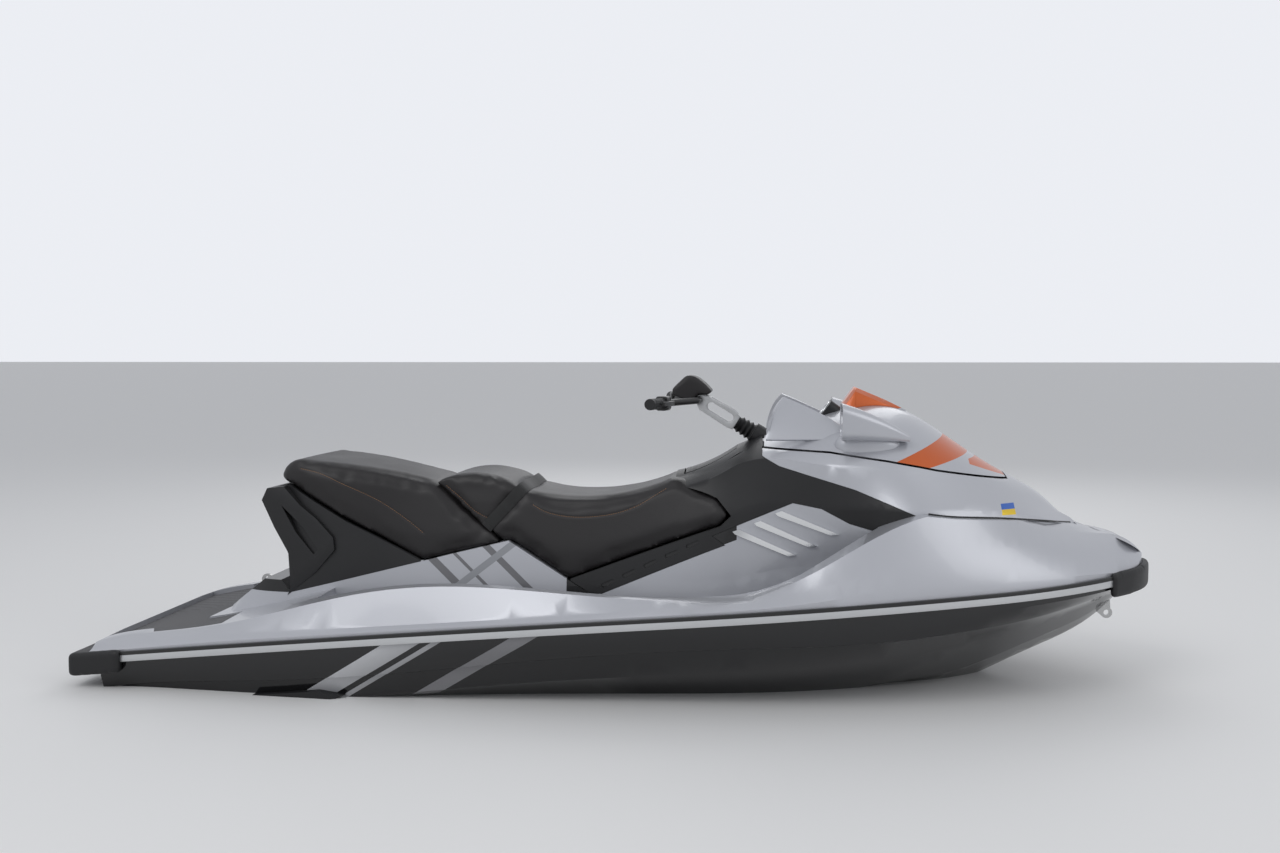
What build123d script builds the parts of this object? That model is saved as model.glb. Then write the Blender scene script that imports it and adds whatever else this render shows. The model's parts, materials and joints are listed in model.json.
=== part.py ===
"""Three-seat personal watercraft with a planing V hull, moulded deck, opening bow cover and water-jet drive.

Millimetres. +X points to the bow, +Y to port and +Z up. The origin lies on the waterline, on the
centreline, at half the length. Every half-section table below gives the port side and is mirrored.
"""
import os
from math import cos, radians, sin, sqrt
from build123d import *

os.makedirs("parts", exist_ok=True)

# Main sizes
half_length = 1655
stern_x = -1600
transom_x = -1560
skin = 8
panel_gap = 0.4
sides = (("starboard", -1), ("port", 1))

# The bond line, where deck meets hull, is one long arc seen from the side
bond_stern_z, bond_mid_z, bond_bow_z = 84, 250, 350
rail_below, rail_above, rail_out = 17, 14, 12
trim_margin = 14

# Outline seen from above: four tangent arcs on each side
beam_x, half_beam = 200, 599
stern_half = 480
fore_x, fore_half = 1100, 458
cheek_x, cheek_half = 1540, 190
nose_x = 1640

# Hull half sections: x, keel z, chine half, chine z, band half, band z
HULL = [
    (-1560, -205, 440, -75, 458, -8),
    (-1000, -205, 490, -22, 510, 45),
    (-400, -200, 516, 42, 538, 108),
    (200, -183, 520, 95, 556, 172),
    (600, -130, 500, 122, 544, 192),
    (900, -72, 446, 158, 488, 210),
    (1150, 5, 350, 202, 396, 236),
    (1350, 104, 238, 246, 286, 266),
    (1500, 196, 130, 280, 176, 294),
    (1590, 284, 54, 304, 86, 310),
    (1645, 320, 20, 326, 32, 328),
]

# Deck half sections: x, shoulder y, z, gunwale ridge y, z, top y, z
DECK = [
    (-1630, 460, 112, 440, 118, 300, 122),
    (-1300, 496, 158, 460, 180, 300, 185),
    (-1000, 524, 194, 488, 246, 330, 252),
    (-600, 554, 230, 512, 331, 330, 337),
    (-300, 568, 256, 528, 338, 330, 344),
    (0, 574, 280, 534, 320, 330, 326),
    (280, 572, 304, 534, 316, 330, 324),
    (530, 552, 338, 522, 366, 330, 380),
    (750, 522, 398, 492, 486, 330, 490),
    (900, 486, 437, 444, 548, 250, 555),
    (1200, 372, 452, 292, 526, 120, 562),
    (1440, 220, 428, 135, 470, 40, 486),
    (1645, 60, 372, 40, 380, 20, 384),
]

# Pedestal, seat and bow form: x, foot y, low y, z, mid y, z, high y, z, top z
BODY = [
    (-1270, 262, 250, 150, 228, 172, 190, 186, 196),
    (-1110, 268, 250, 250, 226, 400, 196, 600, 780),
    (-700, 268, 246, 280, 220, 430, 190, 600, 780),
    (-300, 264, 238, 300, 212, 430, 176, 600, 780),
    (100, 262, 234, 300, 208, 440, 160, 600, 700),
    (300, 266, 238, 320, 220, 500, 178, 650, 704),
    (450, 272, 252, 350, 252, 560, 232, 700, 762),
    (600, 284, 272, 380, 292, 560, 288, 690, 818),
    (750, 320, 318, 430, 338, 560, 318, 680, 858),
    (900, 394, 394, 480, 380, 560, 306, 676, 838),
    (1050, 366, 366, 500, 338, 560, 240, 662, 745),
    (1200, 288, 288, 490, 258, 545, 162, 612, 650),
    (1350, 172, 172, 470, 148, 505, 84, 536, 552),
    (1440, 40, 40, 450, 34, 462, 20, 470, 474),
]

# Footwells
floor_z = 140
well_aft_x, well_front_x = -900, 800


def bond_z(x):
    """Height of the bond line at x."""
    share = x / half_length
    rise = (bond_bow_z - bond_stern_z) / 2
    sag = (bond_bow_z + bond_stern_z) / 2 - bond_mid_z
    return bond_mid_z + rise * share + sag * share**2


def side_face(points):
    """Closed side-view outline of (x, z) points, in the centre plane."""
    with BuildSketch(Plane.XZ) as outline:
        with BuildLine():
            Polyline(*points, close=True)
        make_face()
    return outline.sketch


def bond_band(below, above):
    """Side-view band that follows the bond line, from below it to above it."""
    ends = (-1700, 0, 1700)
    low = [(x, bond_z(x) + below) for x in ends]
    high = [(x, bond_z(x) + above) for x in ends]
    with BuildSketch(Plane.XZ) as band:
        with BuildLine():
            ThreePointArc(*low)
            Line(low[2], high[2])
            ThreePointArc(*high)
            Line(high[0], low[0])
        make_face()
    return band.sketch


def plan_arcs(grow, stern_grow):
    """The port edge seen from above, grown outwards by grow, and past the stern by stern_grow."""
    start = (beam_x, half_beam + grow)
    aft = TangentArc(start, (stern_x - stern_grow, stern_half + grow), tangent=(-1, 0))
    fore = TangentArc(start, (fore_x, fore_half + grow), tangent=(1, 0))
    cheek = TangentArc(fore @ 1, (cheek_x + 0.7 * grow, cheek_half + 0.7 * grow), tangent=fore % 1)
    nose = TangentArc(cheek @ 1, (nose_x + grow, 0), tangent=cheek % 1)
    return aft, fore, cheek, nose


def plan_face(grow, stern_grow=0):
    """The whole outline seen from above, grown as its arcs are."""
    arcs = plan_arcs(grow, stern_grow)
    with BuildSketch() as outline:
        with BuildLine():
            add(arcs)
            Line(arcs[0] @ 1, (stern_x - stern_grow, 0))
            mirror(about=Plane.XZ)
        make_face()
    return outline.sketch


def sheer_half(x):
    """Half width of a loft section at x, a little outside the plan outline that trims it."""
    inside_x = min(max(x, stern_x), nose_x - 15)
    for arc in plan_arcs(0, 0):
        box = arc.bounding_box()
        if box.min.X <= inside_x <= box.max.X:
            centre = arc.arc_center
            return centre.Y + sqrt(arc.radius**2 - (inside_x - centre.X) ** 2) + trim_margin


def mirrored(half):
    """The closed outline of a half section and its mirror image."""
    return [(y, z) for y, z in half] + [(-y, z) for y, z in reversed(half)]


def body_form(inset):
    """Pedestal, seat and bow form, with its sides and top set in by inset."""
    with BuildPart() as form:
        for x, foot_y, low_y, low_z, mid_y, mid_z, high_y, high_z, top_z in BODY:
            side = [
                (foot_y - inset, floor_z - skin),
                (low_y - inset, low_z),
                (mid_y - inset, mid_z),
                (high_y - inset, high_z - inset),
            ]
            with BuildSketch(Plane.YZ.offset(x)):
                with BuildLine():
                    port = Polyline(*side)
                    starboard = Polyline(*[(-y, z) for y, z in side])
                    ThreePointArc(port @ 1, (0, top_z - inset), starboard @ 1)
                    Line(port @ 0, starboard @ 0)
                make_face()
        loft()
    return form.part


hull_region = bond_band(-900, 0)
deck_region = bond_band(0, 900)
plan = plan_face(0)
body_outer = body_form(0)
body_core = body_form(skin)
body_clear = body_form(-panel_gap)


def well_space(grow, centre):
    """Both footwells as solids, grown by grow on every wall, around the given centre form."""
    floor = [
        (well_aft_x - grow, 600),
        (well_aft_x - grow, 262 - grow),
        (well_aft_x + 60, floor_z - grow),
        (450, floor_z - grow),
        (well_front_x - 40 + grow, 300 - grow),
        (well_front_x + grow, 600),
    ]
    with BuildPart() as wells:
        with BuildSketch():
            with BuildLine():
                aft = Line((well_aft_x - grow, 0), (well_aft_x - grow, 420 + grow))
                edge = ThreePointArc(aft @ 1, (-100, 496 + grow), (560, 462 + grow))
                front = Polyline(edge @ 1, (well_front_x + grow, 350 + grow), (well_front_x + grow, 0))
                mirror(about=Plane.XZ)
            make_face()
        extrude(amount=700)
        extrude(side_face(floor), amount=600, both=True, mode=Mode.INTERSECT)
        add(centre, mode=Mode.SUBTRACT)
    return wells.part


wells = well_space(0, body_outer)
wells_lining = well_space(skin, body_core)

# Hull: a solid planing V with a strake each side, hollow at the jet tunnel and the engine bay
with BuildPart() as hull_form:
    for x, keel_z, chine_y, chine_z, band_y, band_z in HULL:
        sheer_y = sheer_half(x)
        strake_y = 0.46 * chine_y
        strake_z = keel_z + 0.43 * (chine_z - keel_z)
        step = 0.045 * chine_y
        half = [
            (0.03 * chine_y, keel_z),
            (strake_y, strake_z),
            (strake_y + step, strake_z - 0.1 * step),
            (chine_y, chine_z),
            (band_y, band_z),
            (band_y + 0.022 * sheer_y, band_z + 4),
            (sheer_y, bond_z(x) - rail_below - 4),
            (sheer_y, 400),
        ]
        with BuildSketch(Plane.YZ.offset(x)):
            with BuildLine():
                Polyline(*mirrored(half), close=True)
            make_face()
    loft()
    extrude(hull_region, amount=700, both=True, mode=Mode.INTERSECT)
    extrude(plan, amount=900, both=True, mode=Mode.INTERSECT)

with BuildPart() as deck_form:
    for x, shoulder_y, shoulder_z, ridge_y, ridge_z, top_y, top_z in DECK:
        sheer_y = sheer_half(x)
        half = [
            (sheer_y, bond_z(x) - 60),
            (sheer_y, bond_z(x) + rail_above),
            (shoulder_y, shoulder_z),
            (ridge_y, ridge_z),
            (top_y, top_z),
        ]
        with BuildSketch(Plane.YZ.offset(x)):
            with BuildLine():
                Polyline(*mirrored(half), close=True)
            make_face()
    loft()
    extrude(deck_region, amount=700, both=True, mode=Mode.INTERSECT)
    extrude(plan, amount=900, both=True, mode=Mode.INTERSECT)


# Side-view lines where the deck moulding meets the panels and seats above it
PEDESTAL_TOP = [
    (-1300, 100), (-1290, 186), (-1140, 300), (-1080, 300), (-1045, 262), (-620, 365), (-525, 389), (-350, 431),
    (-95, 278), (-50, 272), (335, 430), (295, 457), (498, 549), (540, 568), (625, 554), (708, 512), (796, 490),
    (849, 499), (915, 538),
]
BOW_SEAM = [(915, 553), (1000, 543), (1150, 532), (1300, 514), (1425, 488)]
PASSENGER_BASE = [(-1054, 604), (-868, 488), (-626, 366), (-525, 389)]
DRIVER_BASE = [(-345, 431), (-168, 324), (-149, 317), (318, 487), (351.4, 520), (307.4, 570.2), (169.6, 631.2)]
COVER_SEAM = [(446, 728), (649, 721), (820, 698), (914, 681), (967, 670), (1205, 632)]
tall = 1100

# Cores inside the panels, under the passenger's seat and from the driver's seat to the bow
REAR_CORE = [(-1034, 255), (-1064, 560), (-1046, 599), (-868, 488), (-626, 366), (-620, 364), (-620, 350)]
FORE_CORE = [
    (-149, 290), (-149, 316.6), (318, 487), (352, 520), (308, 571), (172, 631), (172, 650), (300, 690), (446, 690),
    (649, 700), (820, 680), (967, 650), (1200, 600), (1440, 480), (1440, 300), (100, 300),
]

# Spaces inside: storage bin, engine bay with its sump well, access opening under the seat, and glove box
bin_low, bin_high = (640, -190, 340), (1060, 190, 740)
bay_low, bay_high = (-680, -195, -60), (10, 195, 262)
sump_half, sump_z = 110, -128
access_low, access_high = (-560, -120, 200), (-230, 120, 460)
glove_low, glove_high = (196, -72, 560), (366, 72, 900)
GLOVE_BOX = [(205, 642), (315, 592), (366, 592), (366, 900), (205, 900)]


def block(low, high):
    """A rectangular block from one corner to the opposite one."""
    with BuildPart() as made:
        with Locations(tuple((a + b) / 2 for a, b in zip(low, high))):
            Box(*[b - a for a, b in zip(low, high)])
    return made.part


def body_slice(form, points):
    """The stretch of a body form inside a closed side-view outline."""
    with BuildPart() as made:
        add(form)
        extrude(side_face(points), amount=500, both=True, mode=Mode.INTERSECT)
    return made.part


# Traction mat let into the stern platform
platform_slope = 0.2
platform_low_z = 106
mat_thickness = 12


def platform_band(lift, depth):
    """Side-view band that slopes up the stern platform."""
    ends = (-1596, -1150)
    low = [(x, platform_low_z + lift + platform_slope * (x - stern_x)) for x in ends]
    return side_face(low + [(x, z + depth) for x, z in reversed(low)])


def platform_outline(grow):
    """Plan of the platform mat: narrow at the stern edge, wider forward, notched for the pedestal."""
    half = [(-1594 - grow, 0), (-1594 - grow, 372 + grow), (-1440, 380 + grow), (-1415, 432 + grow),
            (-1190 + grow, 448 + grow), (-1190 + grow, 292 - grow), (-1300 + grow, 292 - grow), (-1300 + grow, 0)]
    with BuildSketch() as outline:
        with BuildLine():
            Polyline(*half)
            mirror(about=Plane.XZ)
        make_face()
    return outline.sketch


# Deck moulding: gunwales, fenders, footwells and pedestal in one piece, with a core under the panels
with BuildPart() as tubs:
    add(wells_lining)
    extrude(hull_region, amount=700, both=True, mode=Mode.INTERSECT)

with BuildPart() as raised:
    add(body_slice(body_outer, PEDESTAL_TOP + [(915, 100)]))
    add(body_slice(body_core, REAR_CORE))
    add(body_slice(body_core, FORE_CORE))
    extrude(deck_region, amount=700, both=True, mode=Mode.INTERSECT)

with BuildPart() as mat_recess:
    extrude(platform_outline(panel_gap), amount=500)
    extrude(platform_band(0, 300), amount=600, both=True, mode=Mode.INTERSECT)

with BuildPart() as deck:
    add(deck_form.part)
    extrude(side_face(BOW_SEAM + [(1425, tall), (915, tall)]), amount=700, both=True, mode=Mode.SUBTRACT)
    add(tubs.part)
    add(wells, mode=Mode.SUBTRACT)
    add(body_slice(body_clear, PEDESTAL_TOP[7:] + [(915, tall), (-350, tall)]), mode=Mode.SUBTRACT)
    add(raised.part)
    add(block(bin_low, bin_high), mode=Mode.SUBTRACT)
    add(block(bay_low, bay_high), mode=Mode.SUBTRACT)
    add(block(access_low, access_high), mode=Mode.SUBTRACT)
    extrude(side_face(GLOVE_BOX), amount=glove_high[1], both=True, mode=Mode.SUBTRACT)
    add(mat_recess.part, mode=Mode.SUBTRACT)
deck.part.label = "deck"
export_step(deck.part, "parts/deck.step")

# Jet drive sizes: the pump hangs in a tunnel open to the stern and closed below by the ride plate
jet_z = -85
tunnel_front_x, tunnel_half, tunnel_top_z = -1000, 150, 48
pump_outer_r, pump_bore_r = 88, 76
shaft_r = 14

# Hull: a solid planing V with a strake each side, hollow at the footwells, jet tunnel, duct and engine bay
with BuildPart() as hull_shell:
    add(hull_form.part)
    add(tubs.part, mode=Mode.SUBTRACT)
    add(wells, mode=Mode.SUBTRACT)
    add(block((-1700, -tunnel_half, -400), (tunnel_front_x, tunnel_half, tunnel_top_z)), mode=Mode.SUBTRACT)
    add(block(bay_low, (bay_high[0], bay_high[1], 500)), mode=Mode.SUBTRACT)
    add(block((bay_low[0], -sump_half, sump_z), (bay_high[0], sump_half, 0)), mode=Mode.SUBTRACT)
    extrude(
        side_face([
            (tunnel_front_x - 1, jet_z - pump_bore_r), (tunnel_front_x - 1, jet_z + pump_bore_r), (-930, -20),
            (-470, -215), (-470, -300), (-870, -300), (-900, -200),
        ]),
        amount=pump_bore_r,
        both=True,
        mode=Mode.SUBTRACT,
    )
    with BuildSketch(Plane.YZ.offset(bay_low[0] + 1)):
        with Locations((0, jet_z)):
            Circle(shaft_r + 6)
    extrude(amount=-400, mode=Mode.SUBTRACT)
hull_shell.part.label = "hull_shell"
export_step(hull_shell.part, "parts/hull_shell.step")

# Panels over the deck core: rear cowl, side cowls, console and front panel, each a moulded skin
REAR_COWL = [(-1045, 262.4), (-630, 363), (-632, 367.6), (-868, 487.4), (-1054, 603.4), (-1075, 560)]
REAR_INSIDE = [(-1034.4, 200), (-1064.4, 560), (-1046.4, 600), (-1040, 700), (-500, 700), (-500, 200)]
SIDE_COWL = [
    (-149, 316), (-95, 279), (-50, 273), (332.6, 430), (293.2, 457.2), (498, 550), (540, 569), (625, 555), (708, 513),
    (796, 491), (849, 500), (915, 539), (722, 615), (498, 678), (446, 706), (446, 1000), (172, 1000), (172, 638),
    (308, 573), (353.4, 520), (318, 486),
]
FRONT_PANEL = [
    (447, 707), (499, 679), (723, 616), (914.6, 540.6), (914.6, 553.4), (1000, 543.4), (1150, 532.4), (1300, 514.4),
    (1424, 488.6), (1424, 900), (1205.5, 900), (1205.5, 631), (967, 669), (914, 680), (820, 697), (649, 720),
    (447, 727),
]
CONSOLE = [(171, 634), (308, 575), (330, 575), (500, 660), (500, 1000), (171, 1000)]
console_half, console_nose_half = 132, 56

with BuildPart() as skin_form:
    add(body_outer)
    add(body_form(skin - panel_gap), mode=Mode.SUBTRACT)

with BuildPart() as rear_cowl:
    add(body_slice(body_outer, REAR_COWL))
    add(body_slice(body_form(skin - panel_gap), REAR_INSIDE), mode=Mode.SUBTRACT)
rear_cowl.part.label = "rear_cowl"
export_step(rear_cowl.part, "parts/rear_cowl.step")

side_cowls = body_slice(skin_form.part, SIDE_COWL)
front_panel = body_slice(skin_form.part, FRONT_PANEL)
front_panel.label = "front_panel"
export_step(front_panel, "parts/front_panel.step")

# Steering column: it leans aft from the console, and its plane's x runs up the column
column_lean = 31.5
column_foot = (415, 0, 765)
up_column = (-cos(radians(column_lean)), 0, sin(radians(column_lean)))
column_side = Plane(origin=column_foot, x_dir=up_column, z_dir=(0, 1, 0))
column_base = Plane(origin=column_foot, x_dir=(0, 1, 0), z_dir=up_column)
boot_r = 30

# Vent slots along the foot of each side cowl
slot_count, slot_length, slot_width = 5, 46, 12
for side, sign in sides:
    with BuildPart() as side_cowl:
        add(side_cowls)
        add(block((-2000, min(0, 900 * sign), 0), (2000, max(0, 900 * sign), 2000)), mode=Mode.INTERSECT)
        add(block((100, -console_half - panel_gap, 600), (447, console_half + panel_gap, 1000)), mode=Mode.SUBTRACT)
        with BuildSketch(Plane.XZ):
            for n in range(slot_count):
                with Locations((-30 + 66 * n, 306 + 31 * n)):
                    SlotOverall(slot_length, slot_width, rotation=25)
        extrude(amount=500, both=True, mode=Mode.SUBTRACT)
    side_cowl.part.label = f"side_cowl_{side}"
    export_step(side_cowl.part, f"parts/side_cowl_{side}.step")

# Console: the top skin between the cowls, with the column boss and the glove box opening
lid_gap, hinge_gap = 5, 0.5
with BuildPart() as console:
    add(body_slice(skin_form.part, CONSOLE))
    add(block((446, -500, 500), (600, -console_nose_half, 1000)), mode=Mode.SUBTRACT)
    add(block((446, console_nose_half, 500), (600, 500, 1000)), mode=Mode.SUBTRACT)
    add(block((100, -console_half, 500), (500, console_half, 1000)), mode=Mode.INTERSECT)
    with BuildSketch(column_base):
        Circle(boot_r + 5)
    extrude(amount=-60)
    add(body_core, mode=Mode.SUBTRACT)
    add(block(glove_low, glove_high), mode=Mode.SUBTRACT)
    with BuildSketch(column_base):
        Circle(boot_r + 1)
    extrude(amount=90, mode=Mode.SUBTRACT)
console.part.label = "console"
export_step(console.part, "parts/console.step")

# Seats: firm foam forms cut to their side outlines, with a rounded top edge
passenger_end_x, bolster_x, seat_split_x = -1100, -596, -318
seat_gap = 0.3
with BuildPart() as seat_passenger:
    add(body_outer)
    with BuildSketch(Plane.XZ):
        with BuildLine():
            base = Polyline(*[(x, z + seat_gap) for x, z in PASSENGER_BASE])
            top = Line(base @ 1, (bolster_x, 606))
            crown = ThreePointArc(top @ 1, (-830, 655), (-1010, 676))
            tail = ThreePointArc(crown @ 1, (-1082, 660), (passenger_end_x, 618))
            Line(tail @ 1, base @ 0)
        make_face()
    extrude(amount=500, both=True, mode=Mode.INTERSECT)
seat_passenger.part.label = "seat_passenger"
export_step(seat_passenger.part, "parts/seat_passenger.step")

with BuildPart() as seat_bolster:
    add(body_outer)
    with BuildSketch(Plane.XZ):
        with BuildLine():
            base = Line((-524, 389.3 + seat_gap), (-350, 431.1 + seat_gap))
            front = Line(base @ 1, (seat_split_x - seat_gap, 592))
            crown = ThreePointArc(front @ 1, (-455, 634), (bolster_x + seat_gap, 607))
            Line(crown @ 1, base @ 0)
        make_face()
    extrude(amount=500, both=True, mode=Mode.INTERSECT)
seat_bolster.part.label = "seat_bolster"
export_step(seat_bolster.part, "parts/seat_bolster.step")

with BuildPart() as seat_driver:
    add(body_outer)
    with BuildSketch(Plane.XZ):
        with BuildLine():
            base = Polyline(*[(x, z + seat_gap) for x, z in DRIVER_BASE])
            nose = Line(base @ 1, (150, 616))
            dish = ThreePointArc(nose @ 1, (-130, 563), (seat_split_x + 12, 586))
            Line(dish @ 1, base @ 0)
        make_face()
    extrude(amount=500, both=True, mode=Mode.INTERSECT)
seat_driver.part.label = "seat_driver"
export_step(seat_driver.part, "parts/seat_driver.step")

# Bow cover: a moulded shell over the storage bin, hinged at its front edge
cover_gap = 5
cover_skin = 12
cover_back_x, cover_front_x = 452, 1199
column_notch = (62, 506)
with BuildPart() as cover_shell:
    add(body_outer)
    extrude(
        side_face([(x, z + cover_gap) for x, z in COVER_SEAM] + [(1205, tall), (446, tall)]),
        amount=500,
        both=True,
        mode=Mode.INTERSECT,
    )
    add(block((400, -500, 500), (cover_back_x, 500, tall)), mode=Mode.SUBTRACT)
    add(block((cover_front_x, -500, 500), (cover_front_x + 20, 500, tall)), mode=Mode.SUBTRACT)
    add(
        body_slice(
            body_form(cover_skin),
            [(cover_back_x + cover_skin, 500), (1180, 500), (1180, tall), (cover_back_x + cover_skin, tall)],
        ),
        mode=Mode.SUBTRACT,
    )
    add(block((400, -column_notch[0], 500), (column_notch[1], column_notch[0], tall)), mode=Mode.SUBTRACT)
cover_shell.part.label = "cover_shell"
export_step(cover_shell.part, "parts/cover_shell.step")

# Wind deflector: a raised hood with a slanted face each side, around the gauge
with BuildPart() as cover_wings:
    for side, sign in sides:
        with BuildSketch(Plane.XZ.offset(-sign * 150)):
            with BuildLine():
                Polyline((456, 772), (474, 824), (512, 888), (566, 800), (668, 812), (700, 780), close=True)
            make_face()
        extrude(amount=-sign * 60, taper=4)
    add(body_clear, mode=Mode.SUBTRACT)
cover_wings.part.label = "cover_wings"
export_step(cover_wings.part, "parts/cover_wings.step")

# Visor: the raised fairing ahead of the gauge, widest at its lip
with BuildPart() as cover_visor:
    for x, half, low, high in ((700, 92, 780, 862), (738, 86, 790, 915), (830, 66, 800, 876), (900, 48, 790, 842)):
        with BuildSketch(Plane.YZ.offset(x)):
            with BuildLine():
                Polyline(*mirrored([(half, low), (0.72 * half, high - 14), (0.4 * half, high)]), close=True)
            make_face()
    loft(ruled=True)
    add(body_clear, mode=Mode.SUBTRACT)
cover_visor.part.label = "cover_visor"
export_step(cover_visor.part, "parts/cover_visor.step")

# Gauge: a round-cornered dial housing below the visor lip, facing the rider
with BuildPart() as gauge_pod:
    with BuildSketch(Plane(origin=(640, 0, 838), x_dir=(0, 1, 0), z_dir=(-0.8, 0, 0.6))):
        RectangleRounded(130, 84, 22)
    extrude(amount=-60)
    add(body_clear, mode=Mode.SUBTRACT)
gauge_pod.part.label = "gauge_pod"
export_step(gauge_pod.part, "parts/gauge_pod.step")

# Mirrors: a pod on each side of the cover, its glass facing aft
mirror_x, mirror_y, mirror_z = 682, 286, 818
for side, sign in sides:
    with BuildPart() as mirror_pod:
        with BuildSketch(Plane.YZ.offset(mirror_x)):
            with Locations((sign * mirror_y, mirror_z)):
                RectangleRounded(136, 108, 28)
        with BuildSketch(Plane.YZ.offset(mirror_x + 110)):
            with Locations((sign * (mirror_y - 14), mirror_z - 22)):
                RectangleRounded(96, 70, 22)
        with BuildSketch(Plane.YZ.offset(mirror_x + 205)):
            with Locations((sign * (mirror_y - 26), mirror_z - 52)):
                RectangleRounded(30, 20, 8)
        loft()
        with BuildSketch(Plane.YZ.offset(mirror_x)):
            with Locations((sign * mirror_y, mirror_z)):
                RectangleRounded(120, 92, 22)
        extrude(amount=6, mode=Mode.SUBTRACT)
        low_y, high_y = sorted((232 * sign, 278 * sign))
        add(block((700, low_y, 690), (800, high_y, 790)))
        add(body_clear, mode=Mode.SUBTRACT)
    mirror_pod.part.label = f"mirror_pod_{side}"
    export_step(mirror_pod.part, f"parts/mirror_pod_{side}.step")
    with BuildPart() as mirror_glass:
        with BuildSketch(Plane.YZ.offset(mirror_x + 2)):
            with Locations((sign * mirror_y, mirror_z)):
                RectangleRounded(119.4, 91.4, 21.7)
        extrude(amount=3.7)
    mirror_glass.part.label = f"mirror_glass_{side}"
    export_step(mirror_glass.part, f"parts/mirror_glass_{side}.step")

# Glove box lid: hinged at its front edge over the box in the console
with BuildPart() as glove_box_lid:
    add(body_slice(skin_form.part, CONSOLE))
    add(
        block(
            (glove_low[0] + lid_gap, glove_low[1] + lid_gap, 500),
            (glove_high[0] - hinge_gap, glove_high[1] - lid_gap, 1000),
        ),
        mode=Mode.INTERSECT,
    )
glove_box_lid.part.label = "glove_box_lid"
export_step(glove_box_lid.part, "parts/glove_box_lid.step")

# Steering: riser, clamp, bar, grips and controls, all turning about the column
riser_half, riser_wall = 38, 9
bar_r, grip_r = 11, 17
bar_height = 205
with BuildPart() as steering_boot:
    with BuildSketch(column_side):
        with BuildLine():
            Polyline((0.5, 0), (0.5, boot_r))
            Polyline(
                (0.5, boot_r), (8, boot_r - 6), (16, boot_r), (24, boot_r - 7), (32, boot_r - 1), (40, boot_r - 8),
                (48, boot_r - 2), (56, boot_r - 9), (62, boot_r - 8), (62, 0),
            )
            Line((62, 0), (0.5, 0))
        make_face()
    revolve(axis=Axis(column_foot, up_column))
steering_boot.part.label = "steering_boot"
export_step(steering_boot.part, "parts/steering_boot.step")

with BuildPart() as steering_riser:
    with BuildSketch(column_side):
        with BuildLine():
            Polyline(
                (62, -24), (80, -28), (bar_height - 18, -26), (bar_height + 6, -8), (bar_height + 8, 14),
                (bar_height - 10, 26), (90, 32), (62, 24), close=True,
            )
        make_face()
        with Locations((125, 2)):
            SlotOverall(96, 30, mode=Mode.SUBTRACT)
    extrude(amount=riser_half, both=True)
    with BuildSketch(column_side):
        with Locations((122, 0)):
            Rectangle(104, 80)
    extrude(amount=riser_half - riser_wall, both=True, mode=Mode.SUBTRACT)
    with BuildSketch(column_side):
        with Locations((bar_height, 0)):
            Circle(bar_r + 0.3)
    extrude(amount=60, both=True, mode=Mode.SUBTRACT)
steering_riser.part.label = "steering_riser"
export_step(steering_riser.part, "parts/steering_riser.step")

bar_centre = Vector(*column_foot) + Vector(*up_column) * bar_height
bar_knee = (bar_centre.X, 95, bar_centre.Z)
bar_bend = (bar_centre.X - 85, 215, bar_centre.Z - 4)
bar_tip = (bar_centre.X - 122, 395, bar_centre.Z - 2)
port_path = [tuple(bar_centre), bar_knee, bar_bend, bar_tip]
with BuildPart() as handlebar:
    with BuildLine():
        FilletPolyline(*[(x, -y, z) for x, y, z in reversed(port_path[1:])], *port_path[1:], radius=45)
    bar_end = Vector(bar_tip[0], -bar_tip[1], bar_tip[2])
    with BuildSketch(Plane(origin=bar_end, z_dir=Vector(bar_bend[0], -bar_bend[1], bar_bend[2]) - bar_end)):
        Circle(bar_r)
    sweep()
handlebar.part.label = "handlebar"
export_step(handlebar.part, "parts/handlebar.step")

grip_length, housing_length = 118, 46
for side, sign in sides:
    tip = Vector(bar_tip[0], sign * bar_tip[1], bar_tip[2])
    inward = (Vector(bar_bend[0], sign * bar_bend[1], bar_bend[2]) - tip).normalized()
    with BuildPart() as grip:
        with BuildSketch(Plane(origin=tip - inward * 6, z_dir=inward)):
            Circle(grip_r)
        extrude(amount=grip_length)
        with BuildSketch(Plane(origin=tip - inward * 0.3, z_dir=inward)):
            Circle(bar_r + 0.3)
        extrude(amount=grip_length, mode=Mode.SUBTRACT)
    grip.part.label = f"grip_{side}"
    export_step(grip.part, f"parts/grip_{side}.step")
    with BuildPart() as controls:
        with BuildSketch(Plane(origin=tip + inward * (grip_length - 5), z_dir=inward, x_dir=(0, 0, 1))):
            RectangleRounded(44, 38, 10)
        extrude(amount=housing_length)
        with BuildSketch(Plane(origin=tip + inward * (grip_length - 6), z_dir=inward)):
            Circle(bar_r + 0.3)
        extrude(amount=housing_length + 2, mode=Mode.SUBTRACT)
    controls.part.label = f"controls_{side}"
    export_step(controls.part, f"parts/controls_{side}.step")

# Throttle lever: a curved finger lever ahead of the starboard grip; along the grip from its tip, then outwards
LEVER = [(118, 19.4), (146, 19.4), (148, 32), (110, 42), (34, 34), (34, 26), (104, 30)]
lever_half = 6
starboard_tip = Vector(bar_tip[0], -bar_tip[1], bar_tip[2])
starboard_inward = Vector(bar_bend[0], -bar_bend[1], bar_bend[2]) - starboard_tip
with BuildPart() as throttle_lever:
    with BuildSketch(Plane(origin=starboard_tip, x_dir=starboard_inward, z_dir=(0, 0, -1))):
        with BuildLine():
            Polyline(*LEVER, close=True)
        make_face()
    extrude(amount=lever_half, both=True)
throttle_lever.part.label = "throttle_lever"
export_step(throttle_lever.part, "parts/throttle_lever.step")

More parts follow.
